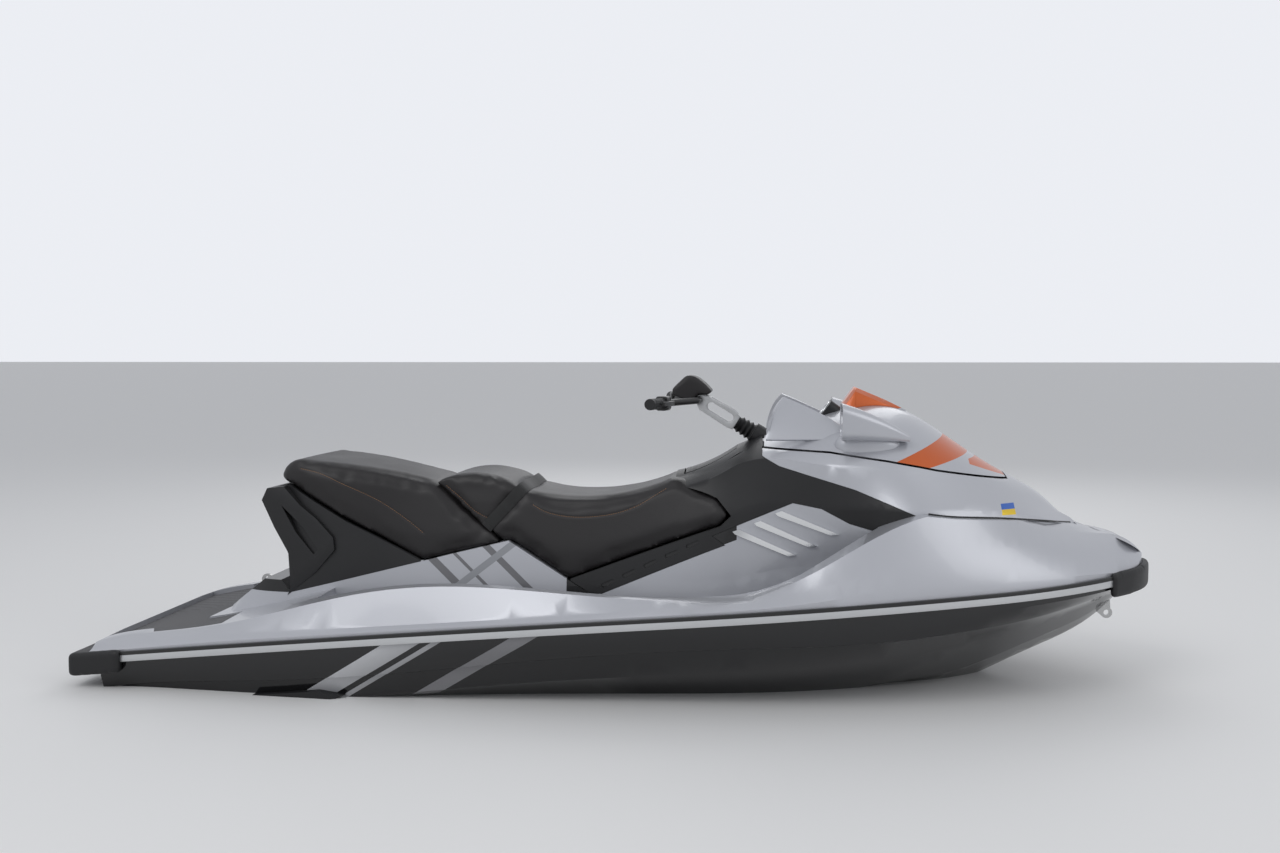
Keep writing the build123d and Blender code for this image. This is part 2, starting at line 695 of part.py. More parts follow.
# Bar pad: the padded cap over the clamp; up the column from the bar, then up-forward
PAD = [
    (-20, 34), (-12, 27.5), (9, 16), (11.6, 8), (11.6, -8), (30, -22), (80, -30), (90, -14), (72, 50), (50, 60),
    (6, 56), (-22, 48),
]
pad_half = 62
with BuildPart() as bar_pad:
    with BuildSketch(column_side):
        with BuildLine():
            Polyline(*[(bar_height + up, out) for up, out in PAD], close=True)
        make_face()
    extrude(amount=pad_half, both=True)
bar_pad.part.label = "bar_pad"
export_step(bar_pad.part, "parts/bar_pad.step")

# Rub rails, bow bumper and stern corner bumpers follow the bond line
bumper_from_x, corner_from_x = 1490, -1490


def edge_strip(grow, stern_grow, below, above, low, high):
    """A strip around the outline, grow wide, from below to above the bond line, inside a block."""
    with BuildPart() as strip:
        extrude(plan_face(grow, stern_grow), amount=700)
        extrude(plan_face(panel_gap), amount=700, mode=Mode.SUBTRACT)
        extrude(bond_band(-below, above), amount=700, both=True, mode=Mode.INTERSECT)
        add(block(low, high), mode=Mode.INTERSECT)
    return strip.part


for side, sign in sides:
    low_y, high_y = sorted((5 * sign, 800 * sign))
    rail_ends = (corner_from_x + panel_gap, low_y, 0), (bumper_from_x - panel_gap, high_y, 700)
    rub_rail = edge_strip(rail_out, 0, rail_below, rail_above, *rail_ends)
    rub_rail.label = f"rub_rail_{side}"
    export_step(rub_rail, f"parts/rub_rail_{side}.step")
    low_y, high_y = sorted((330 * sign, 800 * sign))
    stern_bumper = edge_strip(15, 55, 44, 16, (-1800, low_y, 0), (corner_from_x, high_y, 700))
    stern_bumper.label = f"stern_bumper_{side}"
    export_step(stern_bumper, f"parts/stern_bumper_{side}.step")
bow_bumper = edge_strip(15, 0, 46, 20, (bumper_from_x, -800, 0), (1800, 800, 700))
bow_bumper.label = "bow_bumper"
export_step(bow_bumper, "parts/bow_bumper.step")

# Mats on the platform and on each footwell floor
with BuildPart() as platform_mat:
    extrude(platform_outline(0), amount=500)
    extrude(platform_band(panel_gap, mat_thickness), amount=600, both=True, mode=Mode.INTERSECT)
platform_mat.part.label = "platform_mat"
export_step(platform_mat.part, "parts/platform_mat.step")

for side, sign in sides:
    with BuildPart() as footwell_mat:
        with BuildSketch(Plane.XY.offset(floor_z + panel_gap)):
            with BuildLine():
                inner = Line((440, 286 * sign), (-815, 284 * sign))
                aft = Line(inner @ 1, (-815, 405 * sign))
                outer = ThreePointArc(aft @ 1, (-100, 480 * sign), (440, 456 * sign))
                Line(outer @ 1, inner @ 0)
            make_face()
        extrude(amount=6)
    footwell_mat.part.label = f"footwell_mat_{side}"
    export_step(footwell_mat.part, f"parts/footwell_mat_{side}.step")

# Grab handle: a loop on each side of the pedestal, joined by a bar behind the seat
HANDLE_OUTER = [
    (-1056, 252), (-1030, 326), (-1054, 393), (-1096, 469), (-1136, 556), (-1118, 594), (-1064, 600), (-1010, 540),
    (-960, 500), (-905, 440), (-900, 400), (-960, 330),
]
HANDLE_HOLE = [(-1072, 540), (-1000, 470), (-955, 400), (-968, 384), (-1024, 452)]
with BuildPart() as grab_handle:
    for side, sign in sides:
        with BuildSketch(Plane.XZ.offset(-sign * 226)):
            with BuildLine():
                Polyline(*HANDLE_OUTER, close=True)
            make_face()
            with BuildLine():
                Polyline(*HANDLE_HOLE, close=True)
            make_face(mode=Mode.SUBTRACT)
        extrude(amount=-sign * 32)
    add(body_clear, mode=Mode.SUBTRACT)
    with BuildSketch(Plane.XZ):
        with BuildLine():
            Polyline((-1136, 556), (-1118, 594), (-1108, 594), (-1104, 566), (-1122, 552), close=True)
        make_face()
    extrude(amount=258, both=True)
grab_handle.part.label = "grab_handle"
export_step(grab_handle.part, "parts/grab_handle.step")

# Strap: a webbing band over the driver's seat, just ahead of the bolster
strap_thickness = 3
STRAP = [(-336, 437), (-292, 405), (-254, 585), (-297, 591)]
with BuildPart() as seat_strap:
    add(body_slice(body_form(-strap_thickness), STRAP))
    add(seat_driver.part, mode=Mode.SUBTRACT)
seat_strap.part.label = "seat_strap"
export_step(seat_strap.part, "parts/seat_strap.step")

# Side fins: three bright strakes on each side of the pedestal, below the cowl
FINS = [((357, 474), (551, 410)), ((423, 503), (616, 439)), ((487, 536), (676, 480))]
fin_out = 9
with BuildPart() as side_fins_port:
    for (x0, z0), (x1, z1) in FINS:
        with BuildSketch(Plane.XZ):
            with BuildLine():
                Polyline((x0, z0), (x0 + 20, z0 + 8), (x1, z1), (x1 - 24, z1 - 4), (x0 + 8, z0 - 8), close=True)
            make_face()
        extrude(amount=-420)
    add(body_form(-fin_out), mode=Mode.INTERSECT)
    add(body_clear, mode=Mode.SUBTRACT)
side_fins_port.part.label = "side_fins_port"
export_step(side_fins_port.part, "parts/side_fins_port.step")
side_fins_starboard = mirror(side_fins_port.part, about=Plane.XZ)
side_fins_starboard.label = "side_fins_starboard"
export_step(side_fins_starboard, "parts/side_fins_starboard.step")

# Sponsons: a stabilizing fin on each side of the hull, near the stern
SPONSON_SIDE = [(-1360, -70), (-1330, -28), (-860, 22), (-780, 10), (-860, -22)]
SPONSON_PLAN = [(-1360, 300), (-1360, 478), (-1300, 497), (-820, 538), (-780, 520), (-780, 300)]
for side, sign in sides:
    with BuildPart() as sponson:
        with BuildSketch(Plane.XY.offset(-200)):
            with BuildLine():
                Polyline(*[(x, y * sign) for x, y in SPONSON_PLAN], close=True)
            make_face()
        extrude(amount=400)
        extrude(side_face(SPONSON_SIDE), amount=600, both=True, mode=Mode.INTERSECT)
        add(hull_form.part, mode=Mode.SUBTRACT)
    sponson.part.label = f"sponson_{side}"
    export_step(sponson.part, f"parts/sponson_{side}.step")

# Jet pump: flanged housing with stator and nozzle cone, and ears that carry the reverse bucket
pump_front_x, pump_back_x, cone_back_x = tunnel_front_x, -1290, -1400
flange_r, flange_length = 98, 14
outlet_r, outlet_wall = 34, 4
pivot_x = -1430
outlet_lip = 8
hub_r, stator_count, stator_front_x = 30, 8, -1210
running_gap = 0.3
pump_axis = Axis((0, 0, jet_z), (1, 0, 0))
pump_side = Plane(origin=(0, 0, jet_z), x_dir=(1, 0, 0), z_dir=(0, -1, 0))
pin_r = 6
ear_y, ear_thickness, ear_width = 78, 8, 26
bucket_half, bucket_wall, bucket_r = 86, 6, 104
nozzle_r, nozzle_wall, nozzle_front, nozzle_back = 50, 5, 10, 80
with BuildPart() as jet_pump:
    with BuildSketch(pump_side):
        with BuildLine():
            Polyline(
                (pump_front_x - running_gap, pump_bore_r), (pump_front_x - running_gap, flange_r),
                (pump_front_x - flange_length, flange_r), (pump_front_x - flange_length, pump_outer_r),
                (pump_back_x, pump_outer_r), (cone_back_x, outlet_r + outlet_wall),
                (pivot_x - outlet_lip, outlet_r + outlet_wall), (pivot_x - outlet_lip, outlet_r),
                (cone_back_x, outlet_r), (pump_back_x, pump_bore_r), close=True,
            )
        make_face()
    revolve(axis=pump_axis)
    with BuildSketch(pump_side):
        with BuildLine():
            Polyline(
                (stator_front_x, 0), (stator_front_x, hub_r), (pump_back_x + 10, hub_r), (cone_back_x + 20, 4),
                (cone_back_x + 20, 0), close=True,
            )
        make_face()
    revolve(axis=pump_axis)
    with BuildSketch(Plane.YZ.offset(pump_back_x)):
        with Locations((0, jet_z)):
            with PolarLocations((hub_r + pump_bore_r) / 2, stator_count):
                Rectangle(pump_bore_r - hub_r + 8, 4)
    extrude(amount=stator_front_x - pump_back_x)
    with BuildSketch(Plane.YZ.offset(stator_front_x)):
        with Locations((0, jet_z)):
            Circle(shaft_r + running_gap)
    extrude(amount=-50, mode=Mode.SUBTRACT)
    for side, sign in sides:
        with BuildSketch(Plane.XZ.offset(-sign * (ear_y - ear_thickness))):
            with BuildLine():
                Polyline(
                    (pump_back_x - 10, jet_z - ear_width), (pivot_x, jet_z - ear_width / 2),
                    (pivot_x, jet_z + ear_width / 2), (pump_back_x - 10, jet_z + ear_width), close=True,
                )
            make_face()
            with Locations((pivot_x, jet_z)):
                Circle(ear_width / 2)
        extrude(amount=-sign * ear_thickness)
        with BuildSketch(Plane.XZ.offset(-sign * (ear_y - 1))):
            with Locations((pivot_x, jet_z)):
                Circle(pin_r)
        extrude(amount=-sign * (bucket_half + bucket_wall + 3 - ear_y))
        with BuildSketch(Plane.XY.offset(jet_z + sign * (outlet_r + 1))):
            with Locations((pivot_x, 0)):
                Circle(pin_r)
        extrude(amount=sign * (nozzle_r + nozzle_wall - outlet_r))
    with BuildSketch(Plane.YZ.offset(cone_back_x)):
        with Locations((0, jet_z)):
            Circle(outlet_r)
    extrude(amount=-60, mode=Mode.SUBTRACT)
jet_pump.part.label = "jet_pump"
export_step(jet_pump.part, "parts/jet_pump.step")

# Steering nozzle: a tapered tube that swings on two vertical pins at the pump outlet
with BuildPart() as steering_nozzle:
    with BuildSketch(pump_side):
        with BuildLine():
            Polyline(
                (pivot_x + nozzle_front, nozzle_r), (pivot_x + nozzle_front, nozzle_r + nozzle_wall),
                (pivot_x - 12, nozzle_r + nozzle_wall), (pivot_x - nozzle_back, nozzle_r - 4),
                (pivot_x - nozzle_back, nozzle_r - 9), (pivot_x - 12, nozzle_r), close=True,
            )
        make_face()
    revolve(axis=pump_axis)
    with BuildSketch(Plane.XY.offset(jet_z - 100)):
        with Locations((pivot_x, 0)):
            Circle(pin_r + running_gap)
    extrude(amount=200, mode=Mode.SUBTRACT)
steering_nozzle.part.label = "steering_nozzle"
export_step(steering_nozzle.part, "parts/steering_nozzle.step")

# Reverse bucket: two arms and a curved gate that drops behind the nozzle
gate_from, gate_to = 28, 112
with BuildPart() as reverse_bucket:
    with BuildSketch(Plane(origin=(pivot_x, 0, jet_z), x_dir=(-1, 0, 0), z_dir=(0, 1, 0))):
        with BuildLine():
            outer = CenterArc((0, 0), bucket_r + bucket_wall, gate_from, gate_to - gate_from)
            inner = CenterArc((0, 0), bucket_r, gate_from, gate_to - gate_from)
            Line(outer @ 0, inner @ 0)
            Line(outer @ 1, inner @ 1)
        make_face()
    extrude(amount=bucket_half + bucket_wall, both=True)
    for side, sign in sides:
        with BuildSketch(Plane(origin=(pivot_x, sign * bucket_half, jet_z), x_dir=(-1, 0, 0), z_dir=(0, 1, 0))):
            with BuildLine():
                rim = CenterArc((0, 0), bucket_r + 2, gate_from + 6, gate_to - gate_from - 12)
                Line(rim @ 0, (14, -10))
                Line((14, -10), (-14, -8))
                Line((-14, -8), rim @ 1)
            make_face()
            Circle(16)
            Circle(pin_r + running_gap, mode=Mode.SUBTRACT)
        extrude(amount=sign * bucket_wall)
reverse_bucket.part.label = "reverse_bucket"
export_step(reverse_bucket.part, "parts/reverse_bucket.step")

# Impeller and drive shaft: three swept blades on a hub, driven from the engine
impeller_x, impeller_length, blade_count = -1120, 70, 3
tip_gap = 1
with BuildPart() as impeller:
    with BuildSketch(Plane.YZ.offset(stator_front_x - 40)):
        with Locations((0, jet_z)):
            Circle(shaft_r)
    extrude(amount=bay_low[0] + 44 - (stator_front_x - 40))
    with BuildSketch(pump_side):
        with BuildLine():
            Polyline(
                (impeller_x - impeller_length / 2 - 4, shaft_r - 2), (impeller_x - impeller_length / 2 - 4, hub_r),
                (impeller_x + impeller_length / 2, 24), (impeller_x + impeller_length / 2 + 14, shaft_r - 2), close=True,
            )
        make_face()
    revolve(axis=pump_axis)
    for n in range(blade_count):
        for part_n, turn in enumerate((0, 25, 50)):
            with BuildSketch(Plane.YZ.offset(impeller_x - impeller_length / 2 + part_n * impeller_length / 2)):
                with Locations((0, jet_z)):
                    with PolarLocations((shaft_r + pump_bore_r) / 2, 1, start_angle=360 / blade_count * n + turn):
                        Rectangle(pump_bore_r - tip_gap - shaft_r, 5)
        loft()
    with BuildSketch(Plane.YZ.offset(impeller_x - impeller_length)):
        with Locations((0, jet_z)):
            Circle(3 * pump_bore_r)
            Circle(pump_bore_r - tip_gap, mode=Mode.SUBTRACT)
    extrude(amount=2 * impeller_length, mode=Mode.SUBTRACT)
impeller.part.label = "impeller"
export_step(impeller.part, "parts/impeller.step")

# Ride plate: a flat plate that closes the tunnel below the pump
plate_front_x, plate_half = tunnel_front_x - running_gap, tunnel_half - running_gap
with BuildPart() as ride_plate:
    with BuildSketch(Plane.XY.offset(-198)):
        with BuildLine():
            Polyline(
                (plate_front_x, -plate_half), (plate_front_x, plate_half), (-1480, plate_half), (-1530, 110),
                (-1530, -110), (-1480, -plate_half), close=True,
            )
        make_face()
    extrude(amount=8)
ride_plate.part.label = "ride_plate"
export_step(ride_plate.part, "parts/ride_plate.step")

# Intake grate: bars along the duct mouth, tied by a plate at each end
grate_from_x, grate_to_x, grate_z, bar_count, bar_pitch = -860, -535, -200, 5, 28
grate_thickness = 12
with BuildPart() as intake_grate:
    with BuildSketch(Plane.XY.offset(grate_z)):
        with GridLocations(0, bar_pitch, 1, bar_count):
            with Locations(((grate_from_x + grate_to_x) / 2, 0)):
                Rectangle(grate_to_x - grate_from_x, 8)
        for x in (grate_from_x + 9, grate_to_x - 9):
            with Locations((x, 0)):
                Rectangle(18, 2 * pump_bore_r - 1)
    extrude(amount=grate_thickness)
intake_grate.part.label = "intake_grate"
export_step(intake_grate.part, "parts/intake_grate.step")

# Engine: one block with its sump, on four feet on the ledges of the bay
engine_low, engine_high = (-620, -180, -50), (-30, 180, 240)
foot_size, foot_pitch_x, foot_pitch_y = 50, 440, 300
with BuildPart() as engine_block:
    add(block(engine_low, engine_high))
    add(block((engine_low[0] + 20, 15 - sump_half, sump_z + 10), (engine_high[0] - 20, sump_half - 15, engine_low[2])))
    with BuildSketch(Plane.XY.offset(bay_low[2] + running_gap)):
        with Locations(((engine_low[0] + engine_high[0]) / 2, 0)):
            with GridLocations(foot_pitch_x, foot_pitch_y, 2, 2):
                Rectangle(foot_size, foot_size)
    extrude(amount=engine_low[2] - bay_low[2])
engine_block.part.label = "engine_block"
export_step(engine_block.part, "parts/engine_block.step")

# Eyes: flat lugs with a round bore, one at the stem, two on the transom and one for towing behind the seat
eye_bore_r, eye_r, eye_half = 9, 18, 6
stem_eye = (1536, 200)
STEM_FOOT = [(-40, 10), (10, 40), (14, -10), (-10, -14)]
with BuildPart() as bow_eye:
    with BuildSketch(Plane.XZ):
        with Locations(stem_eye):
            Circle(eye_r)
        with BuildLine():
            Polyline(*[(stem_eye[0] + x, stem_eye[1] + z) for x, z in STEM_FOOT], close=True)
        make_face()
        with Locations(stem_eye):
            Circle(eye_bore_r, mode=Mode.SUBTRACT)
    extrude(amount=eye_half, both=True)
    add(hull_form.part, mode=Mode.SUBTRACT)
bow_eye.part.label = "bow_eye"
export_step(bow_eye.part, "parts/bow_eye.step")

stern_eye_y, stern_eye_z, stern_eye_reach = 425, -15, 24
with BuildPart() as stern_eyes:
    for side, sign in sides:
        with BuildSketch(Plane.XZ.offset(-sign * stern_eye_y)):
            with Locations((transom_x - stern_eye_reach, stern_eye_z)):
                Circle(eye_r)
            with Locations((transom_x - panel_gap - stern_eye_reach / 2, stern_eye_z)):
                Rectangle(stern_eye_reach, 2 * eye_r)
            with Locations((transom_x - stern_eye_reach, stern_eye_z)):
                Circle(eye_bore_r, mode=Mode.SUBTRACT)
        extrude(amount=eye_half, both=True)
stern_eyes.part.label = "stern_eyes"
export_step(stern_eyes.part, "parts/stern_eyes.step")

tow_eye_centre = (-1228, 256)
with BuildPart() as tow_eye:
    with BuildSketch(Plane.XZ):
        with Locations(tow_eye_centre):
            Circle(eye_r)
        with BuildLine():
            Polyline((-1254, 214), (-1200, 255), (-1214, 270), (-1243, 246), close=True)
        make_face()
        with Locations(tow_eye_centre):
            Circle(eye_bore_r, mode=Mode.SUBTRACT)
    extrude(amount=eye_half, both=True)
    pedestal_slope = side_face([(-1290, 186.4), (-1140, 300.4), (-1140, 100), (-1290, 100)])
    extrude(pedestal_slope, amount=100, both=True, mode=Mode.SUBTRACT)
tow_eye.part.label = "tow_eye"
export_step(tow_eye.part, "parts/tow_eye.step")

# Fuel cap on the port side of the front panel, and two drain plugs low on the transom
fuel_cap_r = 42
with BuildPart() as fuel_cap:
    with BuildSketch(Plane(origin=(1100.8, 269.9, 581.4), z_dir=(0.425, 0.615, 0.664))):
        Circle(fuel_cap_r)
    extrude(amount=34)
    add(body_clear, mode=Mode.SUBTRACT)
fuel_cap.part.label = "fuel_cap"
export_step(fuel_cap.part, "parts/fuel_cap.step")

plug_y, plug_z, plug_r = 180, -105, 17
with BuildPart() as drain_plugs:
    with BuildSketch(Plane.YZ.offset(transom_x - panel_gap)):
        with GridLocations(2 * plug_y, 1, 2, 1):
            with Locations((0, plug_z)):
                Circle(plug_r)
    extrude(amount=-12)
drain_plugs.part.label = "drain_plugs"
export_step(drain_plugs.part, "parts/drain_plugs.step")

# Boarding step: a U-shaped step hinged low on the transom, folded up against it at rest
step_y, step_half, step_reach = 248, 72, 115
step_hinge_x, step_hinge_z = transom_x - 20, -62
step_tube, step_pin_r = 16, 6
with BuildPart() as step_bracket:
    for side, sign in sides:
        with BuildSketch(Plane.XZ.offset(step_y + sign * (step_half + 14))):
            with BuildLine():
                Polyline(
                    (transom_x - panel_gap, step_hinge_z - 16), (step_hinge_x - 10, step_hinge_z - 10),
                    (step_hinge_x - 10, step_hinge_z + 10), (transom_x - panel_gap, step_hinge_z + 16), close=True,
                )
            make_face()
        extrude(amount=6, both=True)
    with BuildSketch(Plane.XZ.offset(step_y - step_half - 20)):
        with Locations((step_hinge_x, step_hinge_z)):
            Circle(step_pin_r)
    extrude(amount=2 * step_half + 40)
step_bracket.part.label = "step_bracket"
export_step(step_bracket.part, "parts/step_bracket.step")

with BuildPart() as boarding_step:
    with BuildSketch(Plane.YZ.offset(step_hinge_x - step_tube / 2)):
        with Locations((-step_y, step_hinge_z + step_reach / 2 + 2)):
            RectangleRounded(2 * step_half, step_reach + 20, 12)
            with Locations((0, -14)):
                RectangleRounded(2 * step_half - 52, step_reach - 44, 8, mode=Mode.SUBTRACT)
    extrude(amount=step_tube)
    with BuildSketch(Plane.XZ.offset(step_y - step_half - 30)):
        with Locations((step_hinge_x, step_hinge_z)):
            Circle(step_pin_r + running_gap)
    extrude(amount=2 * step_half + 60, mode=Mode.SUBTRACT)
boarding_step.part.label = "boarding_step"
export_step(boarding_step.part, "parts/boarding_step.step")
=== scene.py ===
import json
import math

import bmesh
import bpy
from mathutils import Matrix, Vector
from mathutils.kdtree import KDTree


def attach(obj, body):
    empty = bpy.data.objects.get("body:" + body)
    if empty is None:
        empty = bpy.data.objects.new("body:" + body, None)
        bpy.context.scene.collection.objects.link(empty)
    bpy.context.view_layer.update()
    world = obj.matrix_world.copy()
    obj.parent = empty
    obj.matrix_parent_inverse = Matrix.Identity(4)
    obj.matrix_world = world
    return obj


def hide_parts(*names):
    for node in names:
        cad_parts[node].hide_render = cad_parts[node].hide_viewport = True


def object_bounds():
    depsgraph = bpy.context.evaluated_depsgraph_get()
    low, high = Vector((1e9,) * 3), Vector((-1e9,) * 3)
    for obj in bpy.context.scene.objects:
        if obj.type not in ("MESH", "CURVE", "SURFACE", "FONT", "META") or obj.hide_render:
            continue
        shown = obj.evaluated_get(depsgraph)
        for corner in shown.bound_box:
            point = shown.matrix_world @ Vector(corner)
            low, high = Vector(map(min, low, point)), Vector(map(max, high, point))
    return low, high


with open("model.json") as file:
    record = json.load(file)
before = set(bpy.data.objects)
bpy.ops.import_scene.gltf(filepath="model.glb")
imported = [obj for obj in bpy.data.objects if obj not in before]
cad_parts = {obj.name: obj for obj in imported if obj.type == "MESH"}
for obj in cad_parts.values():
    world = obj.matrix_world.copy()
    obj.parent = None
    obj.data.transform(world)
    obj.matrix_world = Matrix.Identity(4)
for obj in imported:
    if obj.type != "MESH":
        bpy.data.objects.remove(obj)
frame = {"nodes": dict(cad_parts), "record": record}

nodes = frame["nodes"]
node_body = {n: b for b, names in frame["record"]["behaviour"]["bodies"].items() for n in names}
cad_low, cad_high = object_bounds()
bpy.context.scene.view_settings.view_transform = "Standard"

# Studio: a pale floor at the waterline, where the craft floats, and a camera at the height
# of a standing person on the starboard side, a little aft of the bars, on a 35 mm lens.
floor_size, floor_colour, floor_roughness = 400, (0.90, 0.90, 0.895), 0.6
bpy.ops.object.select_all(action="DESELECT")
bpy.ops.mesh.primitive_plane_add(size=floor_size)
water_floor = bpy.context.object
water_floor.name = "water_floor"
floor_paint = bpy.data.materials.new("pale_floor")
floor_paint.use_nodes = True
floor_shader = floor_paint.node_tree.nodes["Principled BSDF"]
floor_shader.inputs["Base Color"].default_value = (*floor_colour, 1)
floor_shader.inputs["Roughness"].default_value = floor_roughness
water_floor.data.materials.append(floor_paint)

eye, tilt_down, turn_aft = (0.465, -4.05, 1.013), 3.24, 5.9
bpy.ops.object.camera_add(
    location=eye, rotation=(math.radians(90 - tilt_down), 0, math.radians(turn_aft))
)
camera = bpy.context.object
camera.data.lens = 35
camera.data.sensor_width = 36
bpy.context.scene.camera = camera

for lamp_name, place, aim, size, power in (
    ("key", (-2.6, -4.6, 5.2), (0, 0, 0.3), 4.0, 110),
    ("bow_side", (5.2, -2.8, 3.2), (0.6, 0, 0.4), 3.5, 50),
    ("far_side", (0.5, 5.0, 4.2), (0, 0, 0.4), 4.0, 60),
):
    bpy.ops.object.light_add(type="AREA", location=place)
    lamp = bpy.context.object
    lamp.name = lamp_name
    lamp.data.size = size
    lamp.data.energy = power
    lamp.rotation_euler = (Vector(aim) - Vector(place)).to_track_quat("-Z", "Y").to_euler()


class Wire:
    """One shader value; arithmetic on it adds Math nodes to its tree."""

    def __init__(self, tree, socket):
        self.tree, self.socket = tree, socket

    def maths(self, operation, *values):
        return make(self.tree, "ShaderNodeMath", {"operation": operation}, dict(enumerate(values)))

    def __add__(self, other):
        return self.maths("ADD", self, other)

    def __sub__(self, other):
        return self.maths("SUBTRACT", self, other)

    def __rsub__(self, other):
        return self.maths("SUBTRACT", other, self)

    def __mul__(self, other):
        return self.maths("MULTIPLY", self, other)

    def __gt__(self, other):
        return self.maths("GREATER_THAN", self, other)

    def __lt__(self, other):
        return self.maths("LESS_THAN", self, other)

    def __abs__(self):
        return self.maths("ABSOLUTE", self)

    def between(self, low, high):
        return (self > low) * (self < high)

    __radd__, __rmul__ = __add__, __mul__


def make(tree, kind, settings=None, sockets=None, out=0):
    """A node of a kind, its settings made first, then its sockets' values or links."""
    node = tree.nodes.new(kind)
    for name, value in (settings or {}).items():
        if name == "stops":
            ramp = node.color_ramp.elements
            for place, colour in value[2:]:
                ramp.new(place)
            for stop, (place, colour) in zip(ramp, value):
                stop.position, stop.color = place, (*colour, 1)
        else:
            setattr(node, name, value)
    for name, value in (sockets or {}).items():
        if isinstance(value, Wire):
            tree.links.new(value.socket, node.inputs[name])
        elif isinstance(value, tuple) and len(value) == 3 and node.inputs[name].type == "RGBA":
            node.inputs[name].default_value = (*value, 1)
        else:
            node.inputs[name].default_value = value
    return Wire(tree, node.outputs[out])


sky_colour, sky_light, sky_white, mirrored_share = (0.93, 0.95, 1.0), 0.48, 0.42, 0.6
world = bpy.data.worlds.new("studio")
bpy.context.scene.world = world
world.use_nodes = True
sky = world.node_tree.nodes["Background"]
sky.inputs["Color"].default_value = (*sky_colour, 1)
seen = make(world.node_tree, "ShaderNodeLightPath", out="Is Camera Ray")
mirrored = make(world.node_tree, "ShaderNodeLightPath", out="Is Glossy Ray")
sky_strength = (seen + mirrored * mirrored_share) * sky_white + sky_light
world.node_tree.links.new(sky_strength.socket, sky.inputs["Strength"])


# Hull: a gloss black laminate below the bond line, with plain slanted stripes aft on each side.
# Every moulding is a smoothed copy of its CAD node, so that reflections run without facets.
class Finish:
    """A finish in the making: its shader, the place on the object, and what is laid over it."""

    def __init__(self, name, colour, roughness, metallic=0.0, coat=0.0, sheen=0.0, shine=0.5):
        self.material = bpy.data.materials.new(name)
        self.material.use_nodes = True
        self.tree = self.material.node_tree
        self.shader = self.tree.nodes["Principled BSDF"]
        self.place = make(self.tree, "ShaderNodeTexCoord", out="Object")
        parts = make(self.tree, "ShaderNodeSeparateXYZ", sockets={0: self.place}).socket.node.outputs
        self.x, self.y, self.z = (Wire(self.tree, part) for part in parts)
        self.colour, self.roughness = colour, roughness
        lacquer_roughness = 0.05
        for socket, value in (
            ("Base Color", (*colour, 1)), ("Roughness", roughness), ("Metallic", metallic),
            ("Coat Weight", coat), ("Coat Roughness", lacquer_roughness), ("Sheen Weight", sheen),
            ("Specular IOR Level", shine),
        ):
            self.shader.inputs[socket].default_value = value

    def noise(self, scale, detail=2.0):
        sockets = {"Vector": self.place, "Scale": scale, "Detail": detail}
        return make(self.tree, "ShaderNodeTexNoise", sockets=sockets)

    def cells(self, scale):
        return make(self.tree, "ShaderNodeTexVoronoi", sockets={"Vector": self.place, "Scale": scale})

    def ramp(self, value, *stops):
        return make(self.tree, "ShaderNodeValToRGB", {"stops": stops}, {0: value})

    def mixed(self, factor, under, over):
        sockets = {0: factor, 6: under, 7: over}
        return make(self.tree, "ShaderNodeMix", {"data_type": "RGBA"}, sockets, out=2)

    def feed(self, socket, wire):
        self.tree.links.new(wire.socket, self.shader.inputs[socket])

    def paint(self, *layers):
        """Colours laid over the finish's own in turn, each by its mask."""
        colour = self.colour
        for mask, over in layers:
            colour = self.mixed(mask, colour, over)
        self.feed("Base Color", colour)

    def bump(self, height, depth):
        """Raised grain, depth in metres."""
        sockets = {"Height": height, "Distance": depth, "Strength": 1.0}
        self.feed("Normal", make(self.tree, "ShaderNodeBump", sockets=sockets))

    def worn(self, amount, scale):
        """Uneven shine from handling: roughness wanders by the amount."""
        self.feed("Roughness", self.noise(scale, 5.0) * (2 * amount) + (self.roughness - amount))


weld, facet_angle, corner_angle = 0.00002, math.radians(35), math.radians(40)


def moulding(node, finish, bevel=0.0):
    """A CAD node's surface, welded and smoothed, in its place and on its body."""
    bpy.ops.object.select_all(action="DESELECT")
    piece = bpy.data.objects.new(node + "_moulding", nodes[node].data.copy())
    bpy.context.collection.objects.link(piece)
    bpy.context.view_layer.objects.active = piece
    piece.select_set(True)
    bpy.ops.object.mode_set(mode="EDIT")
    bpy.ops.mesh.select_all(action="SELECT")
    bpy.ops.mesh.remove_doubles(threshold=weld)
    bpy.ops.mesh.customdata_custom_splitnormals_clear()
    bpy.ops.object.mode_set(mode="OBJECT")
    if bevel:
        edge = piece.modifiers.new("edge", "BEVEL")
        edge.width, edge.segments = bevel, 2
        edge.limit_method, edge.angle_limit = "ANGLE", corner_angle
        bpy.ops.object.modifier_apply(modifier=edge.name)
    bpy.ops.object.shade_smooth_by_angle(angle=facet_angle)
    piece.data.materials.clear()
    piece.data.materials.append(finish.material)
    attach(piece, node_body[node])
    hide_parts(node)
    return piece


flank_y, chine_slope, chine_z = 0.30, 0.115, 0.075
stripe_slope, stripe_runs = 1.6, ((-0.93, -0.83), (-0.80, -0.775), (-0.60, -0.53))
pale_stripe, grey_stripe, fade_length = (0.62, 0.63, 0.65), (0.20, 0.20, 0.21), 0.32
hull_gel = Finish("hull_gel_coat", (0.006, 0.006, 0.007), 0.14, coat=0.3)
on_flank = (abs(hull_gel.y) > flank_y) * (hull_gel.z > hull_gel.x * chine_slope + chine_z)
stripe_run = hull_gel.x - hull_gel.z * stripe_slope
stripes = sum(stripe_run.between(*ends) for ends in stripe_runs) * on_flank
stripe_fade = hull_gel.ramp(stripe_run + 1.0, (0.0, pale_stripe), (fade_length, grey_stripe))
hull_gel.paint((stripes, stripe_fade))
hull_gel.worn(0.05, 4.0)
moulding("hull_shell", hull_gel)

